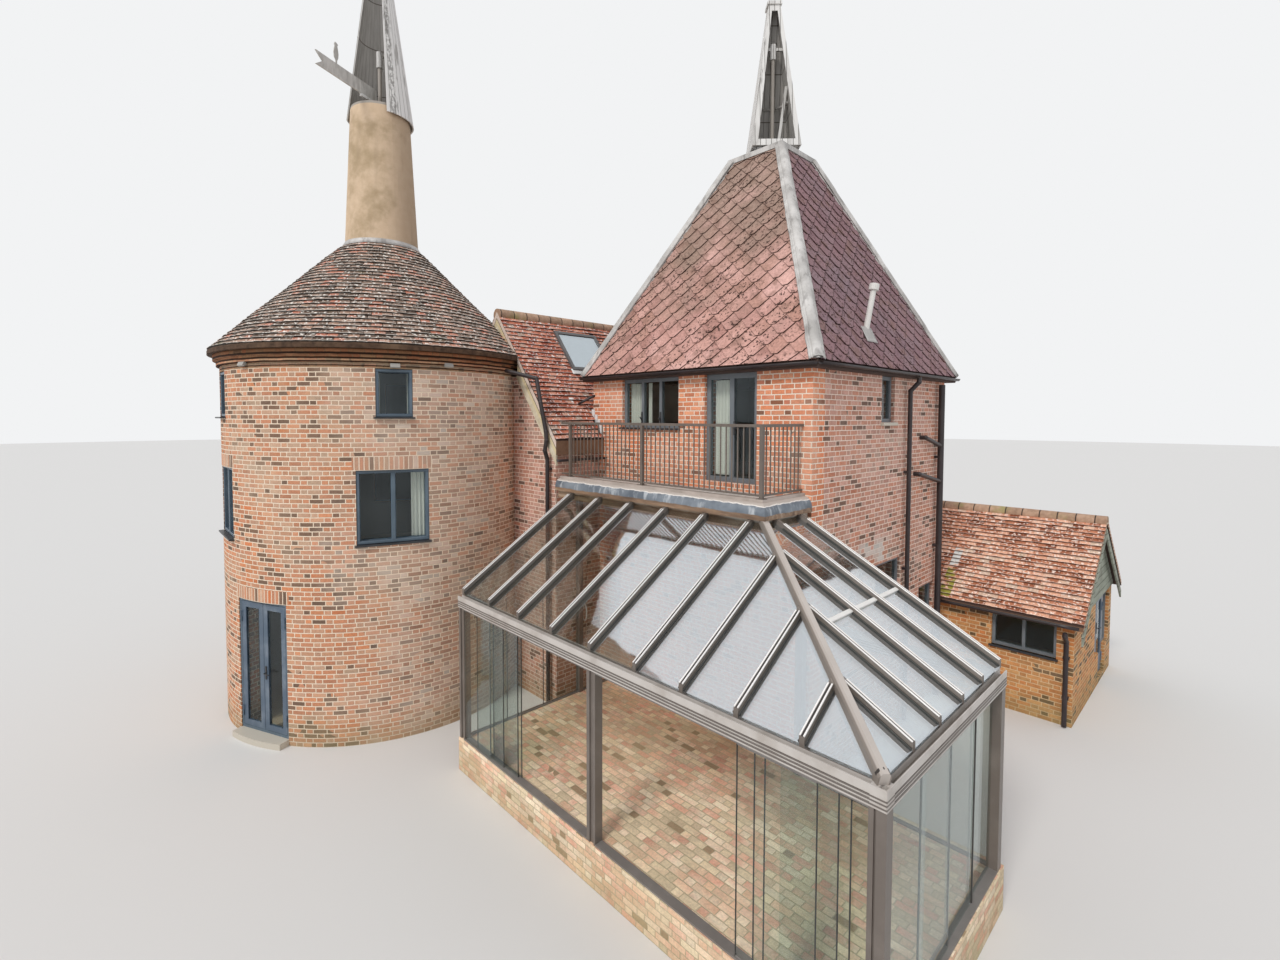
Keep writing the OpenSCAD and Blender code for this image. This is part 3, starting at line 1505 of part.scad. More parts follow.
module outbuilding_frames() {
    g = shed_door;
    color("slategray") {
        in_shed_front(shed_window) frame_unit(shed_window[1] - shed_window[0],
            shed_window[3] - shed_window[2], 1, 50);
        for (w = [shed_light_a, shed_light_b]) in_shed_gable([w[0], w[1], shed_sill_z, shed_door_top])
            frame_unit(w[1] - w[0], shed_door_top - shed_sill_z, 0, 50);
        translate([shed_len - frame_set, g[0], shed_floor]) rotate([0, 0, 90]) difference() {
            cube([g[1] - g[0], frame_depth, shed_door_top - shed_floor]);
            block([50, -past, -past], [g[1] - g[0] - 50, frame_depth + past, shed_door_top - shed_floor - 50]);
        }
        for (z = [200, 1250]) translate([shed_len, g[1] - 50 - leaf_gap / 2, shed_floor + z]) {
            translate([hinge_r - frame_set, 0, 0]) {
                cylinder(r = hinge_r, h = knuckle_h);
                block([-hinge_r, 0, 0], [-hinge_r + 5, 30, knuckle_h]);
                translate([0, 0, knuckle_h]) cylinder(r = hinge_r / 2, h = knuckle_h);
            }
        }
    }
}

module outbuilding_door() {
    w = shed_door[1] - shed_door[0] - 100 - 2 * leaf_gap;
    h = shed_door_top - shed_floor - 50 - 2 * leaf_gap;
    color("slategray") translate([shed_len - frame_set, shed_door[1] - 50 - leaf_gap / 2,
        shed_floor + leaf_gap]) rotate([0, 0, -90]) difference() {
        shed_leaf(w, h);
    }
}

// Glazed leaf with its hinge line at x = 0, drawn towards +x, outside towards +y
module shed_leaf(w, h) {
    difference() {
        block([leaf_gap / 2, -leaf_t, 0], [leaf_gap / 2 + w, 0, h]);
        block([leaf_gap / 2 + stile_w, -leaf_t - past, 4 * stile_w],
            [leaf_gap / 2 + w - stile_w, past, h - stile_w]);
    }
    block([leaf_gap / 2 + stile_w, -leaf_t / 2 - glass_t / 2, 4 * stile_w],
        [leaf_gap / 2 + w - stile_w, -leaf_t / 2 + glass_t / 2, h - stile_w]);
    for (z = [200, 1250]) translate([0, hinge_r, z - leaf_gap + knuckle_h + seat]) difference() {
        union() {
            cylinder(r = hinge_r, h = knuckle_h);
            block([0, -hinge_r, 0], [30 + leaf_gap / 2, -hinge_r + 5, knuckle_h]);
        }
        translate([0, 0, -past]) cylinder(r = hinge_r / 2 + 0.5, h = knuckle_h + 2 * past);
    }
}

round_wall_front();
round_wall_over_door();
round_wall_left();
round_wall_back();
round_wall_right();
round_cornice();
round_roof();
round_collar();
round_neck();
round_cowl();
round_vane();
round_window_frames();
round_door_frame();
round_door_left();
round_door_right();
round_threshold();
round_floors();
cowl_spindles();
window_glass();
square_front_wall();
square_right_wall();
square_back_wall();
square_left_wall();
square_roof();
square_hips();
square_cowl();
square_window_frames();
square_floors();
eaves_gutters();
downpipes();
flue_pipe();
balcony_deck();
balcony_lead_edge();
balcony_railing();
stowage_gable_walls();
stowage_side_walls();
stowage_gable_trim();
stowage_roof();
ridge_tiles();
rooflight();
conservatory_base();
conservatory_posts();
conservatory_beam();
conservatory_bars();
conservatory_roof_glass();
conservatory_tracks();
fixed_glass_panels();
sliding_panel_left_2();
sliding_panel_left_3();
sliding_panel_left_4();
sliding_panel_right_1();
sliding_panel_right_2();
sliding_panel_right_3();
outbuilding_long_walls();
outbuilding_gable_walls();
outbuilding_roof();
outbuilding_gable_boards();
outbuilding_frames();
outbuilding_door();
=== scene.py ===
"""Looks of the oast house: camera, light, finishes, roof coverings and small fittings."""
import logging
import math
from dataclasses import dataclass, field
from enum import Enum
from functools import partial, partialmethod
from typing import Sequence

import bpy
import numpy as np
from mathutils import Matrix, Vector


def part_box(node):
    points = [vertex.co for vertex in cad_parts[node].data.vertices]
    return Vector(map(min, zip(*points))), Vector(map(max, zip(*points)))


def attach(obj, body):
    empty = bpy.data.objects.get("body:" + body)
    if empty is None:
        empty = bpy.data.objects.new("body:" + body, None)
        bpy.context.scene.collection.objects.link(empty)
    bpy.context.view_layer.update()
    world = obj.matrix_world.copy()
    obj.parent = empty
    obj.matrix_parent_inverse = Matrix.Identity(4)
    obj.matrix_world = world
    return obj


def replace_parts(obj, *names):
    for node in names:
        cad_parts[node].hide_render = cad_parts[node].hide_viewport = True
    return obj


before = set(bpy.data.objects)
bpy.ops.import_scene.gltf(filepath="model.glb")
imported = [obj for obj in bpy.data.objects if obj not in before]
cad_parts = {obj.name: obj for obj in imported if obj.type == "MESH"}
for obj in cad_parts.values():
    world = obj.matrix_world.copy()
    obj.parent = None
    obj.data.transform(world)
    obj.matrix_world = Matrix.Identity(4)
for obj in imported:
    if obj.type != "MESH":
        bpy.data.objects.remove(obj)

log = logging.getLogger("oast_house")
Socket = bpy.types.NodeSocket
Amount = float | Socket
Array = np.ndarray
Mesh = tuple[Array, Array]
HOUSE = "house"

# Places that several pieces share, in metres; FAR lies beyond the whole house.
FAR = 1000.0
ROUND_AXIS = (-5.775, -5.215)
ROUND_RADIUS, ROUND_INSIDE = 2.78, 2.46
ROUND_PAIRS, COWL_BOARDS = 52, 36
KILN_X, KILN_Y = 2.35, 2.5
STOWAGE_MID, STOWAGE_RIDGE, STOWAGE_PITCH = -4.01, 7.48, 1.283
HIP_FOOT, HIP_HEAD = (4.751, -5.69, 2.706), (2.29, -3.58, 4.03)
TILE_GAUGE, TILE_WIDTH, TILE_LAP = 0.1, 0.165, 1.12


def paint(code: str) -> tuple[float, float, float, float]:
    """Linear colour of a six-figure screen colour.

    Args:
        code: red, green and blue as pairs of hexadecimal figures.

    Returns:
        The colour as shader sockets take it, with full alpha.
    """
    parts = np.array([int(code[i:i + 2], 16) for i in (0, 2, 4)]) / 255
    plain = np.where(parts <= 0.04045, parts / 12.92, ((parts + 0.055) / 1.055) ** 2.4)
    return (*(float(p) for p in plain), 1.0)


class Recipe:
    """One procedural material while its nodes are being joined."""

    def __init__(self, name: str) -> None:
        """Start a material that holds a surface shader and its output."""
        self.material = bpy.data.materials.new(name)
        self.material.use_nodes = True
        self.tree = self.material.node_tree
        self.tree.nodes.clear()
        self.output = self.tree.nodes.new("ShaderNodeOutputMaterial")
        self.shader = self.tree.nodes.new("ShaderNodeBsdfPrincipled")
        self.tree.links.new(self.shader.outputs[0], self.output.inputs[0])
        source = self.tree.nodes.new("ShaderNodeTexCoord")
        self.place = source.outputs["Object"]
        self.facing = source.outputs["Normal"]

    def feed(self, socket: Socket, value: object) -> None:
        """Give a socket a link, a plain value or a screen colour."""
        if isinstance(value, bpy.types.NodeSocket):
            self.tree.links.new(value, socket)
        else:
            socket.default_value = paint(value) if isinstance(value, str) else value

    def add(self, kind: str, given: dict, out: int | str = 0, **settings: object) -> Socket:
        """Add one node.

        Args:
            kind: the node's type without its ShaderNode prefix.
            given: what each input takes, by name or number.
            out: which output is wanted.
            settings: the node's own options.

        Returns:
            The wanted output.
        """
        node = self.tree.nodes.new("ShaderNode" + kind)
        for key, value in settings.items():
            setattr(node, key, value)
        for key, value in given.items():
            self.feed(node.inputs[key], value)
        return node.outputs[out]

    def calc(self, operation: str, *values: Amount, clamp: bool = False) -> Socket:
        """Result of one Math node on the given values."""
        return self.add("Math", dict(enumerate(values)), operation=operation, use_clamp=clamp)

    # One Math node each: product, sum, difference, a times b plus c, a number without its sign,
    # and 1 where the first number is above or below the second.
    times = partialmethod(calc, "MULTIPLY")
    plus = partialmethod(calc, "ADD")
    less = partialmethod(calc, "SUBTRACT")
    fit = partialmethod(calc, "MULTIPLY_ADD")
    size = partialmethod(calc, "ABSOLUTE")
    above = partialmethod(calc, "GREATER_THAN")
    below = partialmethod(calc, "LESS_THAN")

    def between(self, a: Amount, low: float, high: float, spare: float = 0.0) -> Socket:
        """1 where a number lies from low to high, with spare added at both ends."""
        return self.calc("COMPARE", a, (low + high) / 2, (high - low) / 2 + spare)

    def turned(self, x: Socket, y: Socket, c: float, s: float) -> tuple[Socket, Socket]:
        """Parts of a level vector along the direction (c, s) and across it."""
        across = self.less(self.times(y, c), self.times(x, s))
        return self.plus(self.times(x, c), self.times(y, s)), across

    def split(self, vector: Socket) -> tuple[Socket, Socket, Socket]:
        """The three parts of a vector."""
        node = self.tree.nodes.new("ShaderNodeSeparateXYZ")
        self.feed(node.inputs[0], vector)
        return node.outputs[0], node.outputs[1], node.outputs[2]

    def join(self, x: Amount, y: Amount, z: Amount) -> Socket:
        """A vector from three parts."""
        return self.add("CombineXYZ", {0: x, 1: y, 2: z})

    def choose(self, switch: Amount, off: Amount, on: Amount) -> Socket:
        """Number that goes from off to on as the switch goes from 0 to 1."""
        return self.add("Mix", {0: switch, 2: off, 3: on}, 0, data_type="FLOAT")

    def blend(self, amount: Amount, a: object, b: object, how: str = "MIX") -> Socket:
        """Colour that goes from a to b, or the blend of both that how names."""
        return self.add("Mix", {0: amount, 6: a, 7: b}, 2, data_type="RGBA", blend_type=how)

    def dim(self, colour: Socket, light: Amount) -> Socket:
        """Colour with all its parts times one number."""
        return self.blend(1.0, colour, self.join(light, light, light), "MULTIPLY")

    def step(self, value: Amount, low: float, high: float) -> Socket:
        """Smooth rise from 0 at low to 1 at high; falls where low is the larger."""
        a, b = (low, high) if low < high else (high, low)
        ends = (0.0, 1.0) if low < high else (1.0, 0.0)
        return self.add("MapRange", {0: value, 1: a, 2: b, 3: ends[0], 4: ends[1]},
                        interpolation_type="SMOOTHSTEP")

    def boards(self, along: Amount, width: float, low: float, high: float
               ) -> tuple[Socket, Socket]:
        """A board's number by rounding down, and a mask that rises from 0 in its seams to 1."""
        count = self.calc("DIVIDE", along, width)
        cell = self.calc("FLOOR", count)
        part = self.less(count, cell)
        return cell, self.step(self.calc("MINIMUM", part, self.less(1.0, part)), low, high)

    def noise(self, scale: float, detail: float = 3.0, place: Socket = None,
              stretch: tuple = None, rough: float = 0.55) -> Socket:
        """Cloudy noise from 0 to 1, with stretch as the pattern's scale on each axis."""
        spot = place if place is not None else self.place
        if stretch is not None:
            spot = self.add("Mapping", {"Vector": spot, "Scale": stretch})
        return self.add("TexNoise", {"Vector": spot, "Scale": scale, "Detail": detail,
                                     "Roughness": rough})

    def luck(self, *parts: Amount) -> Socket:
        """Even random number from 0 to 1 for a cell given by up to three whole numbers."""
        spot = self.join(*(list(parts) + [0.0, 0.0, 0.0])[:3])
        return self.add("TexWhiteNoise", {0: spot}, 0, noise_dimensions="3D")

    def ramp(self, amount: Amount, stops: Sequence[tuple[float, str]], hard: bool = False) -> Socket:
        """Colour along a row of stops, each a position and a screen colour."""
        node = self.tree.nodes.new("ShaderNodeValToRGB")
        node.color_ramp.interpolation = "CONSTANT" if hard else "LINEAR"
        marks = node.color_ramp.elements
        while len(marks) < len(stops):
            marks.new(1.0)
        for mark, (position, code) in zip(marks, stops):
            mark.position = position
            mark.color = paint(code)
        self.feed(node.inputs[0], amount)
        return node.outputs[0]

    def mark(self, name: str) -> Socket:
        """Number that a piece's own attribute holds."""
        return self.add("Attribute", {}, "Fac", attribute_name=name)

    def finish(self, colour: object, rough: Amount, height: Amount = None, depth: float = 0.003,
               metal: float = 0.0, specular: float = 0.5) -> bpy.types.Material:
        """Join the surface shader and hand over the material.

        Args:
            colour: base colour.
            rough: roughness.
            height: bump height from 0 to 1, if the surface has relief.
            depth: how many metres a height of 1 stands for.
            metal: metallic share.
            specular: specular level.

        Returns:
            The material.
        """
        self.feed(self.shader.inputs["Base Color"], colour)
        self.feed(self.shader.inputs["Roughness"], rough)
        self.shader.inputs["Metallic"].default_value = metal
        self.shader.inputs["Specular IOR Level"].default_value = specular
        if height is not None:
            bump = self.add("Bump", {"Strength": 1.0, "Distance": depth, "Height": height})
            self.feed(self.shader.inputs["Normal"], bump)
        return self.material


class Wrap(Enum):
    """How a wall's bricks follow it."""

    FLAT = "flat"
    ROUND = "round"


@dataclass(frozen=True)
class Finish:
    """A surface finish that is mixed once and put on many pieces."""

    name: str

    def mix(self) -> bpy.types.Material:
        """Build the finish's material."""
        raise NotImplementedError

    def material(self) -> bpy.types.Material:
        """The finish's material, mixed the first time it is asked for."""
        return bpy.data.materials.get(self.name) or self.mix()


@dataclass(frozen=True)
class Brickwork(Finish):
    """Clay bricks in a bond of stretchers and headers with pale lime joints."""

    tones: tuple[tuple[float, str], ...]
    joint: str = "F8E6D0"
    soot: str = "E0C8AE"
    wrap: Wrap = Wrap.FLAT
    course: float = 0.075
    pair: float = 0.3375
    gap: float = 0.0145
    lay: float = 1.0
    rooms: tuple[tuple[float, ...], ...] = ()
    soldiers: tuple[tuple[float, float, float, float], ...] = ()
    bloom: tuple[tuple[float, ...], ...] = ()
    patches: tuple[str, float] = ("A09288", 0.35)
    dark: tuple[float, str, str] = (0.1, "857060", "66544A")
    # share of paler, greyer bricks on the round wall's right side: partly their own weathering, partly
    # painted light that lifts the side the sun leaves in shade
    weathered_and_lit_share: float = 0.0
    # painted shade and painted highlight bands by height along the cornice's corbelled courses
    ledge_light_and_shade: tuple[tuple[float, str], ...] = ()

    def spread(self, r: Recipe) -> tuple[Socket, Socket, Socket, Socket]:
        """Along-wall and up-wall distances, a turned-brick mask and the inner-face mask.

        Formula: on a round wall the distance is the angle about the kiln's axis times a radius
        that fits a whole number of brick pairs; on a flat wall it is the horizontal coordinate
        that the face doesn't point along.
        """
        x, y, z = r.split(r.place)
        nx, ny, nz = r.split(r.facing)
        level = r.above(r.size(nz), 0.7)
        upright = r.above(z, FAR)
        if self.wrap is Wrap.ROUND:
            dx, dy = r.less(x, ROUND_AXIS[0]), r.less(y, ROUND_AXIS[1])
            reach = r.calc("SQRT", r.plus(r.times(dx, dx), r.times(dy, dy)))
            turn = r.calc("ARCTAN2", dy, dx)
            along = r.times(turn, ROUND_PAIRS * self.pair / math.tau)
            outward = r.calc("DIVIDE", r.plus(r.times(dx, nx), r.times(dy, ny)), reach)
            u = r.choose(r.below(r.size(outward), 0.5), along, reach)
            v = r.choose(level, z, reach)
            base = 0.0
            for direction, half, foot, head in self.soldiers:
                off = r.size(r.less(turn, math.radians(direction)))
                here = r.times(r.below(off, half / ROUND_RADIUS), r.between(z, foot, head))
                upright = r.calc("MAXIMUM", upright, here)
                base = r.plus(base, r.times(here, foot))
            u, v = r.choose(upright, u, r.less(v, base)), r.choose(upright, v, u)
            return u, v, upright, r.below(reach, ROUND_INSIDE)
        u = r.choose(r.above(r.size(nx), 0.5), x, y)
        v = r.choose(level, z, r.times(y, self.lay))
        inner = upright
        for x0, x1, y0, y1 in self.rooms:
            within = r.times(r.between(x, x0, x1, 0.004), r.between(y, y0, y1, 0.004))
            inner = r.calc("MAXIMUM", inner, within)
        return u, v, upright, inner

    def mix(self) -> bpy.types.Material:
        """Bricks told apart by rounding down; a joint lies where a brick's nearest edge is close."""
        r = Recipe(self.name)
        u, v, upright, inner = self.spread(r)
        wobble = r.fit(r.noise(3.0, 2.0), 0.012, -0.006)
        v = r.plus(v, wobble)
        row = r.calc("FLOOR", r.calc("DIVIDE", v, self.course))
        odd = r.calc("FLOORED_MODULO", row, 2.0)
        shift = r.plus(r.times(odd, self.pair / 2), r.times(r.luck(row), 0.04))
        along = r.plus(u, r.times(shift, r.less(1.0, upright)))
        cell = r.calc("FLOOR", r.calc("DIVIDE", along, self.pair))
        local = r.less(along, r.times(cell, self.pair))
        header = r.above(local, self.pair * 2 / 3)
        start = r.times(header, self.pair * 2 / 3)
        width = r.choose(header, self.pair * 2 / 3, self.pair / 3)
        left = r.less(local, start)
        low = r.less(v, r.times(row, self.course))
        edge = r.calc("MINIMUM", r.calc("MINIMUM", left, r.less(width, left)),
                      r.calc("MINIMUM", low, r.less(self.course, low)))
        edge = r.plus(edge, r.fit(r.noise(60.0, 2.0), 0.006, -0.003))
        face = r.step(edge, self.gap / 2 - 0.002, self.gap / 2 + 0.002)
        brick = r.plus(r.times(cell, 2.0), header)
        pick = r.luck(brick, row, 1.0)
        shade = r.luck(brick, row, 7.0)
        zone = r.fit(r.noise(0.55, 4.0, rough=0.6), 1.5, -0.75)
        colour = r.ramp(r.fit(pick, 0.7, r.plus(zone, 0.15), clamp=True), self.tones)
        crowd = r.plus(r.noise(0.8, 2.0), r.fit(r.luck(row, 2.0), 0.3, -0.15))
        share = r.fit(r.step(crowd, 0.45, 0.7), self.dark[0] * 2.0, self.dark[0] * 0.5)
        burnt = r.blend(shade, self.dark[1], self.dark[2])
        colour = r.blend(r.below(r.luck(brick, row, 5.0), share), colour, burnt)
        grain = r.noise(45.0, 4.0)
        colour = r.dim(colour, r.fit(shade, 0.28, r.fit(grain, 0.8, 0.46)))
        patch = r.times(r.step(r.noise(0.9, 4.0), 0.48, 0.68), self.patches[1])
        colour = r.blend(patch, colour, self.patches[0])
        x, y, z = r.split(r.place)
        # paler, greyer bricks on the round wall's right side: partly weathering, partly painted light on
        # the side the sun leaves in shade
        if self.wrap is Wrap.ROUND:
            turn = r.calc("ARCTAN2", r.less(y, ROUND_AXIS[1]), r.less(x, ROUND_AXIS[0]))
            ragged = r.plus(turn, r.fit(r.noise(0.8, 4.0, rough=0.65), 1.6, -0.8))
            pale = r.times(r.step(ragged, -0.75, 0.0), r.step(turn, 1.0, 0.3))
            weathered_and_lit = r.ramp(r.luck(brick, row, 9.0), WEATHERED_AND_LIT_TONES)
            colour = r.blend(r.times(pale, self.weathered_and_lit_share), colour, weathered_and_lit)
        mortar = r.blend(r.noise(18.0, 3.0), self.joint, self.soot)
        colour = r.blend(face, mortar, colour)
        # painted shadows under the cornice's corbelled courses and painted highlights on their lips
        if self.ledge_light_and_shade:
            height = r.plus(z, r.fit(r.noise(4.0, 3.0), 0.016, -0.008))
            ledge_shading = r.ramp(r.fit(height, 1 / 0.36, -6.15 / 0.36), self.ledge_light_and_shade)
            colour = r.blend(1.0, colour, ledge_shading, "MULTIPLY")
        for x0, x1, y0, y1, z0, z1 in self.bloom:
            fades = [r.step(r.size(r.less(a, (low + high) / 2)), (high - low) / 2, (high - low) / 4)
                     for a, low, high in ((y, y0, y1), (z, z0, z1))]
            here = r.times(r.between(x, x0, x1), r.times(*fades))
            salt = r.step(r.plus(r.luck(brick, row, 3.0), r.noise(3.0, 2.0)), 0.85, 1.25)
            colour = r.blend(r.times(r.times(here, salt), 0.75), colour, "D8D3CB")
        damp = r.step(r.plus(z, r.times(r.noise(1.5, 3.0), 0.8)), 1.1, 0.3)
        colour = r.blend(r.times(damp, 0.4), colour, "8A8258")
        # inner faces: plaster in a dark tone, painted shade for the unlit rooms
        colour = r.blend(inner, colour, "8F877B")
        height = r.plus(r.times(face, 0.8), r.times(grain, 0.35))
        height = r.choose(inner, height, r.times(grain, 0.1))
        return r.finish(colour, r.fit(grain, 0.15, 0.78), height, 0.007, specular=0.25)


@dataclass(frozen=True)
class ClayTile(Finish):
    """Hand-made clay tiles: each has its own tone, with lichen specks, painted shade on the edges and
    under each course, and a pale foot band that is partly lichen and partly painted highlight.
    """

    tones: tuple[tuple[float, str], ...]
    specks: str = "E0DDD8"
    speck_share: float = 0.6
    moss: str = "6B6A42"
    moss_share: float = 0.66
    shade: str = "2E2420"
    lit: float = 0.9
    spots: tuple[tuple[float, float, float, float, str], ...] = ()

    def mix(self) -> bpy.types.Material:
        """Tone from the tile's own number, then grain, specks and moss.

        The rim number falls from 2 at the foot of a tile's edge to 1 at its top and 0 at the upper end, so
        it gives the painted shade on the edge, the pale band above it, partly lichen and partly painted
        highlight where the tails catch light, and the painted course shadow under the next course.
        """
        r = Recipe(self.name)
        tone, rim = r.mark("tone"), r.mark("rim")
        zone = r.fit(r.noise(0.7, 3.0), 0.5, -0.25)
        colour = r.ramp(r.plus(tone, zone, clamp=True), self.tones)
        grain = r.noise(38.0, 4.0)
        colour = r.dim(colour, r.fit(grain, 1.3, 0.42))
        moss = r.times(r.step(r.noise(2.2, 4.0), self.moss_share, self.moss_share + 0.08), 0.6)
        colour = r.blend(moss, colour, self.moss)
        share = self.speck_share
        speck = r.calc("MAXIMUM", r.step(r.noise(22.0, 3.0), share, share + 0.04),
                       r.step(r.noise(11.0, 4.0), share + 0.06, share + 0.09))
        colour = r.blend(r.times(speck, 0.85), colour, self.specks)
        x, y, z = r.split(r.place)
        for x0, x1, y0, y1, code in self.spots:
            here = r.times(r.between(x, x0, x1), r.between(y, y0, y1))
            here = r.times(here, r.step(r.noise(5.0, 3.0), 0.38, 0.5))
            colour = r.blend(here, colour, code)
        # painted course shadow where the next course overlaps each tile
        shadow = r.times(r.step(rim, 0.5, 0.15), min(0.8 * self.lit, 0.95))
        colour = r.blend(shadow, colour, self.shade)
        # pale band at each tile's foot: partly lichen, partly painted highlight where the tails catch
        # light
        pale = r.fit(r.noise(8.0, 2.0), self.lit, -0.1, clamp=True)
        colour = r.blend(r.times(r.step(rim, 0.8, 0.98), pale), colour, self.specks)
        # painted shade on the tiles' edge faces
        colour = r.blend(r.times(r.step(rim, 1.02, 1.2), 0.9), colour, self.shade)
        return r.finish(colour, 0.86, grain, 0.004, specular=0.2)


@dataclass(frozen=True)
class DiamondSlate(Finish):
    """Diamond slates, salmon on the front and plum on the sides, with painted shadow lines along their
    lower rims, and dark spots.
    """

    def mix(self) -> bpy.types.Material:
        """The slope that a slate lies on sets its hue; its rim number gives the painted shadow line under
        its lower rim.
        """
        r = Recipe(self.name)
        tone, rim, side = r.mark("tone"), r.mark("rim"), r.mark("side")
        cloud = r.noise(0.8, 4.0)
        x, y, z = r.split(r.place)
        high = r.fit(z, 0.12, -0.8)
        salmon = r.ramp(tone, ((0.0, "A87C72"), (0.35, "BE9288"), (0.7, "C2968A"), (1.0, "B28678")))
        salmon = r.blend(r.times(r.step(cloud, 0.52, 0.38), 0.7), salmon, "DAB0A6")
        grey = r.times(r.step(r.plus(cloud, high), 0.5, 0.85), 0.8)
        salmon = r.blend(grey, salmon, "8C7A6C")
        plum = r.ramp(tone, ((0.0, "83656A"), (0.5, "8E6F72"), (1.0, "8A7074")))
        plum = r.blend(r.times(r.step(cloud, 0.45, 0.7), 0.6), plum, "807078")
        colour = r.blend(side, salmon, plum)
        grain = r.noise(30.0, 4.0)
        colour = r.dim(colour, r.fit(grain, 1.1, 0.5))
        stains = r.times(r.step(r.noise(4.5, 4.0), 0.52, 0.66), 0.5)
        colour = r.blend(stains, colour, "7C5F52")
        place = r.add("Mapping", {"Vector": r.place, "Location": (3.0, 1.0, 2.0)})
        where = r.fit(side, 0.07, r.noise(1.1, 2.0, place))
        spots = r.times(r.step(r.noise(20.0, 2.0), 0.585, 0.625), r.step(where, 0.4, 0.52))
        colour = r.blend(r.times(spots, 0.92), colour, "44302A")
        # painted shadow along each slate's lower rim, its strength varied by noise
        colour = r.blend(r.times(rim, r.step(r.noise(2.6, 3.0), 0.1, 0.5)), colour, "38231E")
        return r.finish(colour, 0.8, grain, 0.003, specular=0.25)


@dataclass(frozen=True)
class DressedLead(Finish):
    """Grey lead sheet with pale bloom and run marks."""

    base: str = "B4B2AE"
    bloom: str = "D9D6D2"
    run: str = "8B8785"
    streak: float = 0.5
    kerb: float = FAR
    board: float = -FAR

    def mix(self) -> bpy.types.Material:
        """Bloom from cloudy noise and run marks from noise drawn out along the height."""
        r = Recipe(self.name)
        run = r.noise(9.0, 4.0, stretch=(1.0, 1.0, 0.12))
        cloud = r.noise(2.5, 4.0)
        colour = r.blend(r.step(cloud, 0.35, 0.7), self.base, self.bloom)
        colour = r.blend(r.times(r.step(run, 0.52, 0.7), self.streak), colour, self.run)
        edge = r.plus(r.split(r.place)[2], r.fit(r.noise(5.0, 3.0), 0.05, -0.025))
        colour = r.blend(r.step(edge, self.kerb - 0.008, self.kerb - 0.003), colour, "E6E0D8")
        colour = r.blend(r.step(edge, self.kerb + 0.003, self.kerb + 0.008), colour, "B9AEA5")
        board = r.ramp(r.noise(10.0, 5.0, stretch=(0.15, 1.0, 1.0), rough=0.66),
                       ((0.3, "5E4A3C"), (0.55, "94785F"), (0.75, "C4B4A2")))
        colour = r.blend(r.step(edge, self.board + 0.006, self.board), colour, board)
        return r.finish(colour, r.fit(cloud, 0.2, 0.45), cloud, 0.01)


@dataclass(frozen=True)
class StainedRender(Finish):
    """Buff render of the round kiln's neck, stained olive and brown."""

    def mix(self) -> bpy.types.Material:
        """Two noises of different size give the large stains, and the back right is darker, partly dirt
        and partly painted shade.
        """
        r = Recipe(self.name)
        cloud = r.noise(1.3, 5.0, rough=0.62)
        small = r.noise(6.0, 4.0)
        colour = r.blend(small, "DCC4A8", "CAB092")
        stain = r.step(r.plus(cloud, r.times(small, 0.2)), 0.5, 0.82)
        colour = r.blend(r.times(stain, 0.65), colour, "94805F")
        run = r.noise(5.0, 3.0, stretch=(1.0, 1.0, 0.1))
        colour = r.blend(r.times(r.step(run, 0.55, 0.75), 0.3), colour, "A08C76")
        nx, ny, nz = r.split(r.facing)
        # darker towards the back right: partly dirt, partly painted shade on the side away from the light
        lee = r.step(r.fit(nx, 0.36, r.times(ny, 0.93)), 0.0, 0.95)
        colour = r.blend(r.times(lee, 0.42), colour, "75634F")
        return r.finish(colour, 0.85, r.noise(40.0, 4.0), 0.003, specular=0.25)


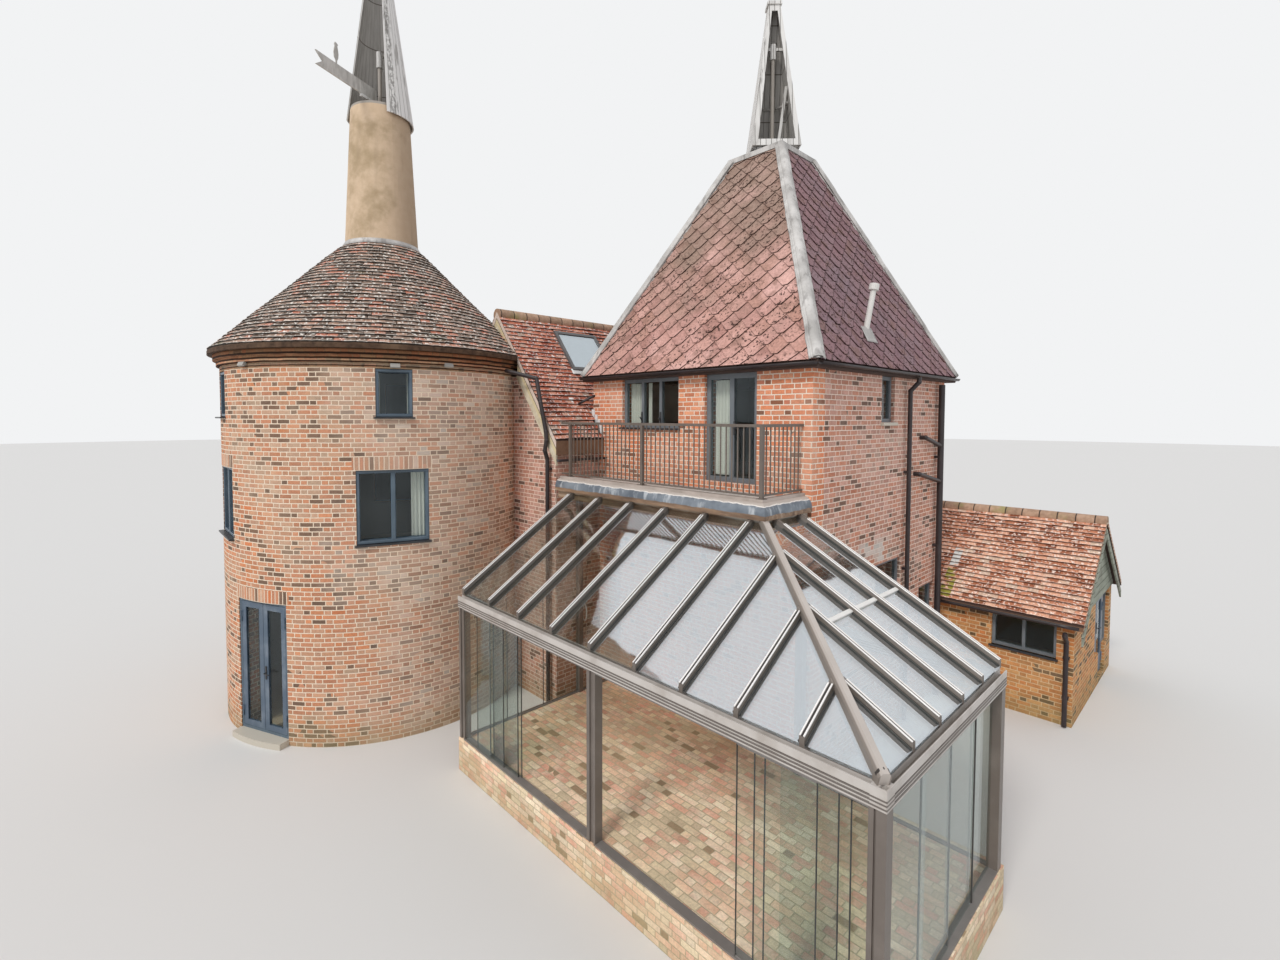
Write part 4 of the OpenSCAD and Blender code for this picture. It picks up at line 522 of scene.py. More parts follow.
@dataclass(frozen=True)
class CowlBoards(Finish):
    """Old white-painted boards with dark seams outside and taupe grain inside."""

    axis: tuple[float, float]
    turn: float
    board: float
    wrap: Wrap
    seams: str = "4C4640"

    def mix(self) -> bpy.types.Material:
        """Boards told apart by angle about the cowl's axis, or by distance along a flat side.

        Dark flakes lie in a streak beside the round cowl's opening.
        """
        r = Recipe(self.name)
        x, y, z = r.split(r.place)
        nx, ny, nz = r.split(r.facing)
        dx, dy = r.less(x, self.axis[0]), r.less(y, self.axis[1])
        c, s = math.cos(self.turn), math.sin(self.turn)
        (lx, ly), (mx, my) = r.turned(dx, dy, c, s), r.turned(nx, ny, c, s)
        flaked = 0.0
        if self.wrap is Wrap.ROUND:
            angle = r.calc("ARCTAN2", ly, lx)
            u = r.times(angle, COWL_BOARDS * self.board / math.tau)
            past = r.size(r.less(r.size(angle), 1.15))
            flakes = r.noise(26.0, 5.0, stretch=(1.0, 1.0, 0.4), rough=0.65)
            flaked = r.times(r.step(past, 0.16, 0.06), r.step(flakes, 0.45, 0.55))
        else:
            u = r.choose(r.above(r.size(mx), r.size(my)), lx, ly)
        cell, seam = r.boards(u, self.board, 0.02, 0.06)
        hoop = r.boards(z, 0.86, 0.006, 0.016)[1]
        inside = r.below(r.plus(r.times(dx, nx), r.times(dy, ny)), 0.0)
        grain = r.noise(16.0, 5.0, stretch=(1.0, 1.0, 0.06), rough=0.65)
        flake = r.noise(7.0, 4.0, stretch=(1.0, 1.0, 0.2))
        tone = r.luck(cell)
        outer = r.ramp(r.fit(tone, 0.5, r.times(grain, 0.5)),
                       ((0.15, "A9A6A1"), (0.4, "DAD8D4"), (0.8, "E8E6E2")))
        outer = r.blend(r.times(r.step(flake, 0.6, 0.7), 0.6), outer, "7A746D")
        inner = r.ramp(grain, ((0.2, "A09C97"), (0.6, "BAB7B2"), (0.9, "CAC7C2")))
        streak = r.noise(4.0, 5.0, stretch=(1.6, 1.6, 0.09), rough=0.7)
        outer = r.blend(r.times(r.step(streak, 0.58, 0.68), 0.75), outer, "5B5650")
        outer = r.blend(r.times(flaked, 0.6), outer, "4A453F")
        colour = r.blend(inside, outer, r.blend(hoop, "6B645D", inner))
        colour = r.blend(seam, self.seams, colour)
        height = r.plus(r.times(seam, 0.7), r.times(grain, 0.4))
        return r.finish(colour, 0.78, height, 0.006, specular=0.3)


@dataclass(frozen=True)
class Coated(Finish):
    """Painted or powder-coated metal and joinery, a little faded and dusty."""

    colour: str
    worn: str
    rough: float = 0.42
    wear: float = 0.35
    metal: float = 0.0
    grain: float = 0.0008

    def mix(self) -> bpy.types.Material:
        """Even colour with cloudy fading, run marks and a fine orange-peel relief."""
        r = Recipe(self.name)
        cloud = r.noise(3.0, 4.0)
        run = r.noise(14.0, 3.0, stretch=(1.0, 1.0, 0.15))
        colour = r.blend(r.times(r.step(cloud, 0.4, 0.75), self.wear), self.colour,
                         self.worn)
        colour = r.blend(r.times(r.step(run, 0.6, 0.75), self.wear * 0.6), colour, self.worn)
        rough = r.fit(cloud, 0.2, self.rough - 0.08)
        return r.finish(colour, rough, r.noise(160.0, 2.0), self.grain, metal=self.metal)


@dataclass(frozen=True)
class Weathered(Finish):
    """Timber, stone or boards that the weather has greyed, with seams along one axis."""

    light: str
    dark: str
    board: float = 0.0
    axis: int = 2
    stretch: tuple[float, float, float] = (1.0, 1.0, 1.0)
    stain: str = "6B5F55"
    stained: float = 0.4
    turned: bool = False

    def mix(self) -> bpy.types.Material:
        """Grain drawn out along the boards; a seam wherever a whole number of boards is passed.

        Where turned is set, the boards beyond x = 0 run along x, as the outbuilding's ridge does.
        """
        r = Recipe(self.name)
        grain = r.noise(12.0, 5.0, stretch=self.stretch, rough=0.62)
        colour = r.ramp(grain, ((0.25, self.dark), (0.65, self.light)))
        cloud = r.noise(2.0, 4.0)
        colour = r.blend(r.times(r.step(cloud, 0.52, 0.72), self.stained), colour, self.stain)
        height = grain
        if self.board:
            parts = r.split(r.place)
            beyond = r.above(parts[0], 0.0 if self.turned else FAR)
            along = r.choose(beyond, parts[self.axis], parts[0])
            cell, seam = r.boards(along, self.board, 0.015, 0.05)
            colour = r.dim(colour, r.fit(r.luck(cell), 0.3, 0.82))
            colour = r.blend(seam, "3A332D", colour)
            height = r.plus(r.times(grain, 0.3), r.times(seam, 0.8))
        return r.finish(colour, 0.8, height, 0.005, specular=0.25)


@dataclass(frozen=True)
class BandedMetal(Finish):
    """The eaves beam's coated metal, with dark shadow lines under its ribs and in its gutter."""

    ribs: tuple[float, ...] = (2.530, 2.562, 2.592)
    bed: float = 2.6735

    def mix(self) -> bpy.types.Material:
        """Painted shadow bands by height under the ribs, and a painted shadow on the gutter bed where the
        face looks up.
        """
        r = Recipe(self.name)
        z = r.split(r.place)[2]
        cloud = r.noise(3.0, 4.0)
        colour = r.blend(r.step(cloud, 0.4, 0.75), "C6C0BA", "AFA79F")
        # painted shadow lines under the ribs
        for height in self.ribs:
            colour = r.blend(r.calc("COMPARE", z, height, 0.0075), colour, "6B635D")
        # painted shadow on the gutter bed
        bed = r.times(r.above(r.split(r.facing)[2], 0.7), r.below(z, self.bed))
        gutter_shadow = r.blend(r.noise(9.0, 4.0), "4E4842", "7A7168")
        colour = r.blend(bed, colour, gutter_shadow)
        return r.finish(colour, r.fit(cloud, 0.2, 0.32), r.noise(160.0, 2.0), 0.0008)


@dataclass(frozen=True)
class BarMetal(Finish):
    """Coated bars: the hip bar is pale, the others darker."""

    def mix(self) -> bpy.types.Material:
        """The hip bar is told apart by its distance in plan from the hip line."""
        r = Recipe(self.name)
        x, y, z = r.split(r.place)
        run, rise = HIP_HEAD[0] - HIP_FOOT[0], HIP_HEAD[1] - HIP_FOOT[1]
        length = math.hypot(run, rise)
        dx, dy = r.less(x, HIP_FOOT[0]), r.less(y, HIP_FOOT[1])
        off = r.size(r.turned(dx, dy, run / length, rise / length)[1])
        cloud = r.noise(3.0, 4.0)
        plain = r.blend(cloud, "625A53", "80776F")
        hip = r.blend(cloud, "C6BEB6", "AEA59D")
        hip = r.blend(r.step(off, 0.034, 0.042), hip, "857C74")
        colour = r.blend(r.below(off, 0.06), plain, hip)
        return r.finish(colour, r.fit(cloud, 0.2, 0.32), r.noise(160.0, 2.0), 0.0008)


@dataclass(frozen=True)
class RoofEdge(Finish):
    """Roof deck: dark felt on the slopes, pointed mortar and tile ends along the verges."""

    def mix(self) -> bpy.types.Material:
        """Verges face along y on the stowage and along x on the outbuilding; eaves stay brown."""
        r = Recipe(self.name)
        x, y, z = r.split(r.place)
        nx, ny, nz = r.split(r.facing)
        grain = r.noise(14.0, 4.0)
        stripes = r.calc("FRACT", r.calc("DIVIDE", r.plus(z, r.times(grain, 0.03)), 0.078))
        verge = r.blend(r.step(stripes, 0.3, 0.5), "C9B9A2", "9B6F58")
        verge = r.blend(r.times(r.step(grain, 0.5, 0.7), 0.6), verge, "E2D8C8")
        eaves = r.blend(grain, "6E5443", "8E705A")
        upright = r.below(r.size(nz), 0.3)
        shed = r.above(x, 0.0)
        across = r.choose(shed, r.size(ny), r.size(nx))
        below = r.fit(r.size(r.plus(x, -STOWAGE_MID)), -STOWAGE_PITCH, r.less(STOWAGE_RIDGE, z))
        board = r.blend(r.step(below, 0.12, 0.15), "DCCBBE", "D9CAA4")
        board = r.blend(r.calc("COMPARE", below, 0.135, 0.012), board, "6E5C4C")
        board = r.blend(r.times(r.step(grain, 0.5, 0.7), 0.5), board, "A08E7C")
        verge = r.blend(shed, board, verge)
        side = r.blend(r.above(across, 0.7), eaves, verge)
        colour = r.blend(upright, "4A3A34", side)
        return r.finish(colour, 0.88, grain, 0.006, specular=0.2)


@dataclass(frozen=True)
class Curtain(Finish):
    """Plain woven cloth with a fine crossing weave and soft creases."""

    light: str = "EFEDE8"
    dark: str = "D2CEC6"

    def mix(self) -> bpy.types.Material:
        """Threads from two waves at right angles; creases from noise drawn out down the drop."""
        r = Recipe(self.name)
        x, y, z = r.split(r.place)
        warp = r.calc("SINE", r.times(r.plus(x, y), 2600.0))
        weft = r.calc("SINE", r.times(z, 2600.0))
        weave = r.fit(r.times(warp, weft), 0.5, 0.5)
        crease = r.noise(7.0, 3.0, stretch=(1.0, 1.0, 0.15))
        colour = r.blend(crease, self.light, self.dark)
        height = r.plus(r.times(weave, 0.15), crease)
        material = r.finish(colour, 0.9, height, 0.002, specular=0.15)
        r.shader.inputs["Sheen Weight"].default_value = 0.2
        return material


@dataclass(frozen=True)
class DeckTimber(Finish):
    """The balcony: pale boards on top, a painted kerb, and brown weathered edge boards below."""

    def mix(self) -> bpy.types.Material:
        """Boards told apart along x on top; below the deck a stained brown takes over."""
        r = Recipe(self.name)
        x, y, z = r.split(r.place)
        grain = r.noise(12.0, 5.0, stretch=(1.0, 0.15, 1.0), rough=0.62)
        fibre = r.noise(10.0, 5.0, stretch=(0.12, 0.12, 1.0), rough=0.66)
        seam = r.boards(x, 0.14, 0.01, 0.05)[1]
        top = r.ramp(grain, ((0.25, "B3ADA6"), (0.65, "DAD6D0")))
        top = r.blend(seam, "6F6862", top)
        kerb = r.blend(r.step(r.noise(2.5, 4.0), 0.4, 0.65), "BDB1A8", "A79C93")
        low = r.ramp(fibre, ((0.3, "6F5A4A"), (0.55, "A3886F"), (0.75, "C9B8A6")))
        low = r.blend(r.step(x, 1.5, 1.9), low, "BDB2A5")
        colour = r.blend(r.above(z, 4.2305), top, kerb)
        colour = r.blend(r.below(z, 4.062), colour, low)
        height = r.plus(r.times(fibre, 0.5), r.times(seam, 0.3))
        return r.finish(colour, 0.78, height, 0.004, specular=0.25)


@dataclass(frozen=True)
class Pane(Finish):
    """Glass that mirrors the sky more as it is seen at a slant, alone or set in a painted leaf."""

    tint: str = "F5F8F6"
    gleam: str = "D5DEE4"
    base: float = 0.015
    flat: float = 1.0
    ripple: float = 0.0
    pale: tuple[float, float] = (FAR, 1.0)
    lee: float = 1.0
    leaf: str = ""

    def glazed(self, r: Recipe) -> Socket:
        """1 where the piece is glass and 0 where it is its painted leaf."""
        return r.above(r.split(r.place)[2], -FAR)

    def mix(self) -> bpy.types.Material:
        """A see-through shader and a mirror shader.

        Formula: the mirror's share is base + (1 - base) * slant to the power 5, where slant runs
        from 0 face on to 1 edge on; above the height pale[0] its base is pale[1], and left of
        the slanting line x + 1.07 y = -4.28, beside the round kiln, it is lee times as large. The
        mirror's normal is the pane's own, rippled as float glass is; on a pane that never turns
        its level parts can be times flat.
        """
        r = Recipe(self.name)
        dust = r.noise(1.4, 4.0)
        glass = self.glazed(r)
        slant = r.add("LayerWeight", {"Blend": 0.5}, "Facing")
        x, y, z = r.split(r.place)
        base = r.choose(r.above(z, self.pale[0]), self.base, self.pale[1])
        beside = r.step(r.fit(y, 1.07, r.plus(x, 4.28)), -0.4, 0.05)
        base = r.times(base, r.fit(beside, 1.0 - self.lee, self.lee))
        share = r.choose(r.calc("POWER", slant, 5.0), r.fit(dust, 0.05, base), 1.0)
        clear = r.add("BsdfTransparent", {0: self.tint})
        coat = self.leaf or self.gleam
        worn = r.blend(r.step(r.noise(3.0, 4.0), 0.4, 0.8), coat, self.gleam)
        skin = r.blend(r.times(r.noise(9.0, 3.0), 0.3), coat, worn)
        r.feed(r.shader.inputs["Base Color"], r.blend(glass, skin, self.gleam))
        r.feed(r.shader.inputs["Metallic"], glass)
        relief = {"Strength": 1.0, "Distance": self.ripple, "Height": r.noise(1.3, 2.0)}
        if self.flat < 1.0:
            nx, ny, nz = r.split(r.facing)
            level = r.join(r.times(nx, self.flat), r.times(ny, self.flat), nz)
            relief["Normal"] = r.add("VectorMath", {0: level}, operation="NORMALIZE")
        r.feed(r.shader.inputs["Normal"], r.add("Bump", relief))
        r.feed(r.shader.inputs["Roughness"], r.choose(glass, 0.4, r.fit(dust, 0.05, 0.01)))
        through = r.times(glass, r.less(1.0, share, clamp=True))
        both = r.add("MixShader", {0: through, 1: r.shader.outputs[0], 2: clear})
        r.feed(r.output.inputs[0], both)
        return r.material


@dataclass(frozen=True)
class GlazedLeaf(Pane):
    """A painted door leaf with its own sheet of glass."""

    leaf: str = "4F5F70"
    origin: tuple[float, float] = (0.0, 0.0)
    across: tuple[float, float] = (1.0, 0.0)
    spans: tuple[float, float] = (0.0, 1.0)
    depth: float = 0.0
    heights: tuple[float, float] = (0.0, 1.0)

    def glazed(self, r: Recipe) -> Socket:
        """1 inside the glass, by distance across the doorway, depth through it and height."""
        x, y, z = r.split(r.place)
        dx, dy = r.less(x, self.origin[0]), r.less(y, self.origin[1])
        run, deep = r.turned(dx, dy, *self.across)
        inside = r.between(r.size(run), *self.spans, -0.0005)
        inside = r.times(inside, r.between(z, *self.heights, -0.0005))
        return r.times(inside, r.calc("COMPARE", deep, self.depth, 0.009))


OLD_TONES = ((0.0, "C9794F"), (0.14, "CC8A64"), (0.3, "C68A6A"), (0.46, "BE8568"), (0.6, "CB9A7A"),
             (0.74, "BC937A"), (0.88, "C3A48A"), (1.0, "B09680"))
RIGHT_TONES = ((0.0, "C68266"), (0.2, "C68F7A"), (0.4, "BE8A76"), (0.6, "D0A292"), (0.8, "BA8C7D"),
               (1.0, "BCA192"))
FRONT_TONES = ((0.0, "DC825A"), (0.25, "E08F68"), (0.5, "D48664"), (0.7, "E8A27E"), (0.85, "CA7E62"),
               (1.0, "E2AE90"))
SHED_TONES = ((0.0, "D08450"), (0.2, "BC7A4A"), (0.4, "D09660"), (0.6, "B2784A"), (0.8, "CC9A66"),
              (1.0, "A68056"))
CORNICE_TONES = ((0.0, "C08A70"), (0.25, "B0846C"), (0.5, "CC9E84"), (0.75, "AC9078"), (1.0, "CEB298"))
# Pale paver tones: the pavers' own clay, lightened as painted light to make up for the light that the
# glass roof holds back.
PAVER_TONES = ((0.0, "F4D4B0"), (0.25, "E8BEA0"), (0.45, "FCEACE"), (0.6, "E6AE96"), (0.8, "F4E0BE"),
               (1.0, "DAC4A6"))
# Pale, grey brick tones for the round wall's right side: partly weathering, partly painted light.
WEATHERED_AND_LIT_TONES = ((0.0, "8C7A6E"), (0.15, "B09A8A"), (0.4, "CCB6A6"), (0.6, "D8A88E"), (0.8, "DCCABA"),
                (1.0, "E6D8CA"))
HOUSE_ROOMS = ((-2.02, 2.02, -2.17, 2.17), (-5.63, -2.39, -3.32, 2.27), (0.215, 4.315, 2.715, 6.085))
SOLDIERS = tuple((d, h, z, z + 0.215) for d, h, z in
                 ((-65.9, 0.62, 2.32), (-18.7, 0.62, 4.5), (-92.0, 0.62, 4.5), (152.0, 0.62, 4.5)))

KILN_BRICK = Brickwork("round_kiln_brick", OLD_TONES, wrap=Wrap.ROUND, soldiers=SOLDIERS, weathered_and_lit_share=0.62,
                       patches=("C4AE96", 0.35), dark=(0.15, "8E705C", "6A5648"), gap=0.0165)
# Cornice bands by height: dark stops are painted shadows under the corbelled courses and the eaves, white
# stops are painted highlights on their lips.
LEDGE_LIGHT_AND_SHADE = ((0.0, "FFF4E4"), (0.05, "F4E4D2"), (0.09, "5A4634"), (0.12, "5A4634"), (0.145, "FFFFFF"),
          (0.24, "F2E6D8"), (0.265, "5C4838"), (0.295, "5C4838"), (0.32, "FFF6EA"), (0.37, "F6E8D8"),
          (0.395, "4C3828"), (0.45, "4C3828"), (0.485, "E2CDB6"), (0.55, "E8D2BC"), (0.575, "46321F"),
          (0.65, "3E2C1C"), (0.685, "D2B8A0"), (0.77, "C0A48A"), (0.82, "8E7058"), (0.87, "6E5440"),
          (1.0, "5E4634"))
CORNICE_BRICK = Brickwork("cornice_brick", CORNICE_TONES, joint="C9B49C", soot="8E7A66", wrap=Wrap.ROUND,
                          patches=("B09E88", 0.5), dark=(0.03, "94806E", "7E6E60"), ledge_light_and_shade=LEDGE_LIGHT_AND_SHADE)
FRONT_BRICK = Brickwork("front_brick", FRONT_TONES, rooms=HOUSE_ROOMS, patches=("E4C6B2", 0.3),
                        joint="FFF2E0", soot="ECD6C2", gap=0.016, dark=(0.05, "A06A50", "7C5A4A"))
SIDE_BRICK = Brickwork("side_brick", RIGHT_TONES, rooms=HOUSE_ROOMS, patches=("C6AA9A", 0.3),
                       joint="FCE8D8", soot="E8D0BE", dark=(0.11, "8A6C5E", "665248"),
                       bloom=((2.3, 2.4, -1.3, 0.3, 2.5, 3.5),))
SHED_BRICK = Brickwork("outbuilding_brick", SHED_TONES, joint="F0D4AC", soot="C8A478", rooms=HOUSE_ROOMS,
                       patches=("B4966C", 0.3), dark=(0.16, "765C40", "645242"))
PAVERS = Brickwork("conservatory_pavers", PAVER_TONES, joint="E2D2B2", soot="BCAC8C", gap=0.009, lay=0.75,
                   patches=("D0BC94", 0.35), dark=(0.03, "B09478", "A08A70"))
ROUND_CLAYS = ((0.0, "56453A"), (0.25, "7A6557"), (0.45, "968072"), (0.62, "A88672"), (0.76, "B2705A"),
               (0.88, "C28C76"), (1.0, "D6BAA6"))
STOWAGE_CLAYS = ((0.0, "8A4A38"), (0.3, "B0644C"), (0.6, "C0785F"), (0.85, "CE9078"), (1.0, "AE9280"))
SHED_CLAYS = ((0.0, "824A32"), (0.3, "B07052"), (0.55, "CA8C6E"), (0.8, "E0AC90"), (1.0, "CCB09A"))
ROUND_TILE = ClayTile("round_roof_tile", ROUND_CLAYS, specks="FAF4EA", speck_share=0.575, shade="120C09",
                      lit=1.25)
STOWAGE_TILE = ClayTile("stowage_tile", STOWAGE_CLAYS, speck_share=0.585, specks="F2F0EC",
                        shade="24130E", spots=((-2.63, -2.55, -2.9, -2.82, "F4F2EE"),))
SHED_TILE = ClayTile("outbuilding_tile", SHED_CLAYS, speck_share=0.56, specks="FAE6D8", shade="3E241A",
                     spots=((2.35, 2.56, 2.4, 2.95, "9A9440"), (2.35, 2.5, 3.0, 3.4, "D4D4D0")))
SLATE = DiamondSlate("diamond_slate")
UNDERLAY = Coated("roof_underlay", "4A3A34", "64534A", rough=0.9)
HIP_LEAD = DressedLead("hip_lead", base="A9A6A2", bloom="D2CFCB", run="7D7976", streak=0.6)
EDGE_LEAD = DressedLead("balcony_edge_lead", base="59626C", bloom="838B93", run="CFD3D6", streak=0.6,
                        kerb=4.238, board=4.118)
ROOF_EDGE = RoofEdge("roof_edge")
# round roof's eaves edge: brown clay darkened nearly to black, partly its own tone and partly painted
# shade under the tiles' tails
EAVES_CLAY = Weathered("round_eaves", "5E4838", "33261C", stain="8A7058", stained=0.5)
GASKET = Coated("panel_gasket", "3E3D3A", "5A5955", rough=0.6)
CURTAIN = Curtain("white_curtain")
BLIND = Curtain("dark_blind", light="5C5650", dark="47423D")
WHITE_LEAD = DressedLead("white_lead", base="DADAD8", bloom="ECECEA", streak=0.3)
NECK_RENDER = StainedRender("neck_render")
ROUND_BOARDS = CowlBoards("round_cowl_boards", ROUND_AXIS, math.radians(-64), 0.11, Wrap.ROUND,
                          seams="928D87")
SQUARE_BOARDS = CowlBoards("square_cowl_boards", (0.0, 0.0), math.radians(-45), 0.1, Wrap.FLAT)
FRAME_PAINT = Coated("window_paint", "52626F", "71828F", rough=0.38)
GREY_PAINT = Coated("grey_window_paint", "6E7479", "8C9296", rough=0.38)
ROOFLIGHT_PAINT = Coated("rooflight_paint", "5E5D5D", "7C7A78", rough=0.45)
DARK_PAINT = Coated("dark_ironwork", "2E2E30", "55565A", rough=0.4)
TAUPE_METAL = Coated("conservatory_metal", "6C635C", "8C847C", rough=0.38)
BAR_METAL = BarMetal("conservatory_bar_metal")
BEAM_METAL = BandedMetal("conservatory_beam_metal")
PALE_METAL = Coated("glazing_lips", "F4F1ED", "DDD8D2", rough=0.3)
CHANNEL_METAL = Coated("glazing_channels", "332D2A", "4E4742", rough=0.5)
DARK_TRACK = Coated("track_metal", "77726E", "9A948E", rough=0.45)
RAIL_METAL = Coated("railing_metal", "685E56", "877C73", rough=0.45)
PIPE_PAINT = Coated("pipe_paint", "2C2425", "4A4142", rough=0.4)
WHITE_METAL = Coated("white_metal", "E6E4DF", "C9C5BE", rough=0.4)
LAMP_METAL = Coated("lamp_metal", "A8A6A0", "C9C7C1", rough=0.45)
FLUE_WHITE = Coated("flue_white", "DAD8D3", "B9B5AD", rough=0.45)
CREAM_TRIM = Weathered("cream_boards", "DDD3BC", "BFB298", stain="8E846C", stained=0.75)
RIDGE_CLAY = Weathered("ridge_clay", "C0A088", "957862", board=0.3, axis=1, stain="97935F", stained=0.85,
                       turned=True)
DECK_TIMBER = DeckTimber("deck_surface")
FLOOR_BOARDS = Weathered("floor_boards", "A98B67", "7D6346", board=0.14, axis=0, stretch=(1.0, 0.1, 1.0))
STEP_STONE = Weathered("step_stone", "CDBAA3", "A79581", stain="8A8664")
GABLE_BOARDS = Weathered("gable_boards", "A3A899", "858A7C", board=0.15, axis=2, stretch=(1.0, 0.15, 1.0))
SPINDLE_IRON = Coated("spindle_timber", "A39C93", "BDB6AC", rough=0.7)
VANE_BOARD = Weathered("vane_board", "CFCCC6", "A5A19A", stretch=(1.0, 1.0, 0.3), stained=0.3)
CLEAR_PANE = Pane("window_pane", pale=(6.2, 0.72))
ROOF_PANE = Pane("conservatory_roof_pane", tint="F2F5F3", gleam="F4F9FF", base=0.48, flat=0.8,
                 ripple=0.003, lee=0.3)
SIDE_PANE = Pane("conservatory_side_pane", tint="F7FAF8", base=0.02)
KILN_LEAF = GlazedLeaf("round_door_leaf", origin=ROUND_AXIS, across=(-0.9128, -0.4083),
                       spans=(0.0995, 0.419), depth=2.6845, heights=(0.246, 2.174))
SHED_LEAF = GlazedLeaf("outbuilding_door_leaf", origin=(4.4475, 5.3), across=(0.0, 1.0),
                       spans=(-0.229, 0.229), heights=(0.486, 1.629))

LEFT_PANELS = tuple(f"sliding_panel_left_{n}" for n in (2, 3, 4))
RIGHT_PANELS = tuple(f"sliding_panel_right_{n}" for n in (1, 2, 3))

WORN_BY: tuple[tuple[Finish, str], ...] = (
    (KILN_BRICK, "round_wall_front round_wall_over_door round_wall_left round_wall_back round_wall_right"),
    (CORNICE_BRICK, "round_cornice"), (EAVES_CLAY, "round_roof"), (NECK_RENDER, "round_neck"),
    (HIP_LEAD, "round_collar square_hips"), (ROUND_BOARDS, "round_cowl"), (VANE_BOARD, "round_vane"),
    (FRAME_PAINT, "round_window_frames round_door_frame"), (STEP_STONE, "round_threshold"),
    (KILN_LEAF, "round_door_left round_door_right"), (FLOOR_BOARDS, "round_floors square_floors"),
    (SPINDLE_IRON, "cowl_spindles"), (CLEAR_PANE, "window_glass"), (FRONT_BRICK, "square_front_wall"),
    (SIDE_BRICK, "square_right_wall square_back_wall square_left_wall stowage_gable_walls"),
    (SIDE_BRICK, "stowage_side_walls"), (UNDERLAY, "square_roof"), (SQUARE_BOARDS, "square_cowl"),
    (GREY_PAINT, "square_window_frames outbuilding_frames"), (PIPE_PAINT, "eaves_gutters downpipes"),
    (FLUE_WHITE, "flue_pipe"), (DECK_TIMBER, "balcony_deck"), (EDGE_LEAD, "balcony_lead_edge"),
    (RAIL_METAL, "balcony_railing"), (CREAM_TRIM, "stowage_gable_trim"), (RIDGE_CLAY, "ridge_tiles"),
    (ROOF_EDGE, "stowage_roof outbuilding_roof"), (ROOFLIGHT_PAINT, "rooflight"),
    (PAVERS, "conservatory_base"), (TAUPE_METAL, "conservatory_posts"), (BEAM_METAL, "conservatory_beam"),
    (BAR_METAL, "conservatory_bars"), (ROOF_PANE, "conservatory_roof_glass"),
    (DARK_TRACK, "conservatory_tracks"), (GABLE_BOARDS, "outbuilding_gable_boards"),
    (SIDE_PANE, " ".join(("fixed_glass_panels",) + LEFT_PANELS + RIGHT_PANELS)),
    (SHED_BRICK, "outbuilding_long_walls outbuilding_gable_walls"), (SHED_LEAF, "outbuilding_door"))


def dress_nodes() -> None:
    """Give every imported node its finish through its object's material slots."""
    finishes = {name: finish for finish, names in WORN_BY for name in names.split()}
    for name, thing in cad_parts.items():
        finish = finishes[name]
        for slot in thing.material_slots:
            slot.material = finish.material()
        log.info("node %s wears %s", name, finish.name)


def make_piece(name: str, points: Array, faces: Array, finish: Finish,
               marks: dict[str, Array] = None, body: str = HOUSE, smooth: bool = False
               ) -> bpy.types.Object:
    """Turn arrays into a mesh piece that rides on a body.

    Args:
        name: the piece's name.
        points: vertices in metres, one row each.
        faces: vertex numbers, one row a face, all with the same number of corners.
        finish: what the piece wears.
        marks: numbers for each vertex, by attribute name.
        body: the body that it rides on.
        smooth: True for a surface that bends softly.

    Returns:
        The new object.
    """
    mesh = bpy.data.meshes.new(name)
    count, corners = faces.shape
    mesh.vertices.add(len(points))
    mesh.vertices.foreach_set("co", points.astype(np.float32).ravel())
    mesh.loops.add(count * corners)
    mesh.loops.foreach_set("vertex_index", faces.astype(np.int32).ravel())
    mesh.polygons.add(count)
    mesh.polygons.foreach_set("loop_start", np.arange(0, count * corners, corners, dtype=np.int32))
    mesh.polygons.foreach_set("use_smooth", np.full(count, smooth))
    for key, values in (marks or {}).items():
        layer = mesh.attributes.new(key, "FLOAT", "POINT")
        layer.data.foreach_set("value", values.astype(np.float32).ravel())
    mesh.update(calc_edges=True)
    mesh.validate()
    piece = bpy.data.objects.new(name, mesh)
    bpy.context.scene.collection.objects.link(piece)
    mesh.materials.append(finish.material())
    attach(piece, body)
    log.info("piece %s: %d faces, wears %s", name, count, finish.name)
    return piece


def prisms(starts: Sequence, ends: Sequence, wide: float, high: float, up: Sequence[float] = (0, 0, 1),
           bevel: float = 0.3) -> Mesh:
    """Straight bars with a chamfered oblong section, one for each pair of end points.

    Formula: the section's eight corners lie at plus or minus half the width along
    side = up x axis, and half the height along axis x side, with every corner cut back.

    Args:
        starts, ends: the bars' end points, one row each.
        wide: width of the section.
        high: height of the section.
        up: direction that the bars' tops lean to.
        bevel: the chamfer as a share of the section's smaller half.

    Returns:
        Points and triangles.
    """
    a, b = np.atleast_2d(np.asarray(starts, float)), np.atleast_2d(np.asarray(ends, float))
    axis = (b - a) / np.linalg.norm(b - a, axis=1, keepdims=True)
    side = np.cross(np.broadcast_to(np.asarray(up, float), a.shape), axis)
    side /= np.linalg.norm(side, axis=1, keepdims=True)
    top = np.cross(axis, side)
    w, h = wide / 2, high / 2
    c = bevel * min(w, h)
    section = np.array([[c - w, -h], [w - c, -h], [w, c - h], [w, h - c], [w - c, h], [c - w, h],
                        [-w, h - c], [-w, c - h]])
    ring = section[:, 0, None] * side[:, None, :] + section[:, 1, None] * top[:, None, :]
    points = np.concatenate([a[:, None] + ring, b[:, None] + ring], 1).reshape(-1, 3)
    i, k = np.arange(8), np.arange(1, 7)
    j = (i + 1) % 8
    zero = np.zeros(6, int)
    tris = np.concatenate([np.stack([i, j, j + 8], 1), np.stack([i, j + 8, i + 8], 1),
                           np.stack([zero + 8, k + 8, k + 9], 1), np.stack([zero, k + 1, k], 1)])
    return points, (np.arange(len(a))[:, None, None] * 16 + tris).reshape(-1, 3)


def rows(x: object, y: object, z: object) -> Array:
    """Points from their coordinates, where a single number stands for a whole row."""
    return np.stack(np.broadcast_arrays(*(np.asarray(part, float) for part in (x, y, z))), -1)


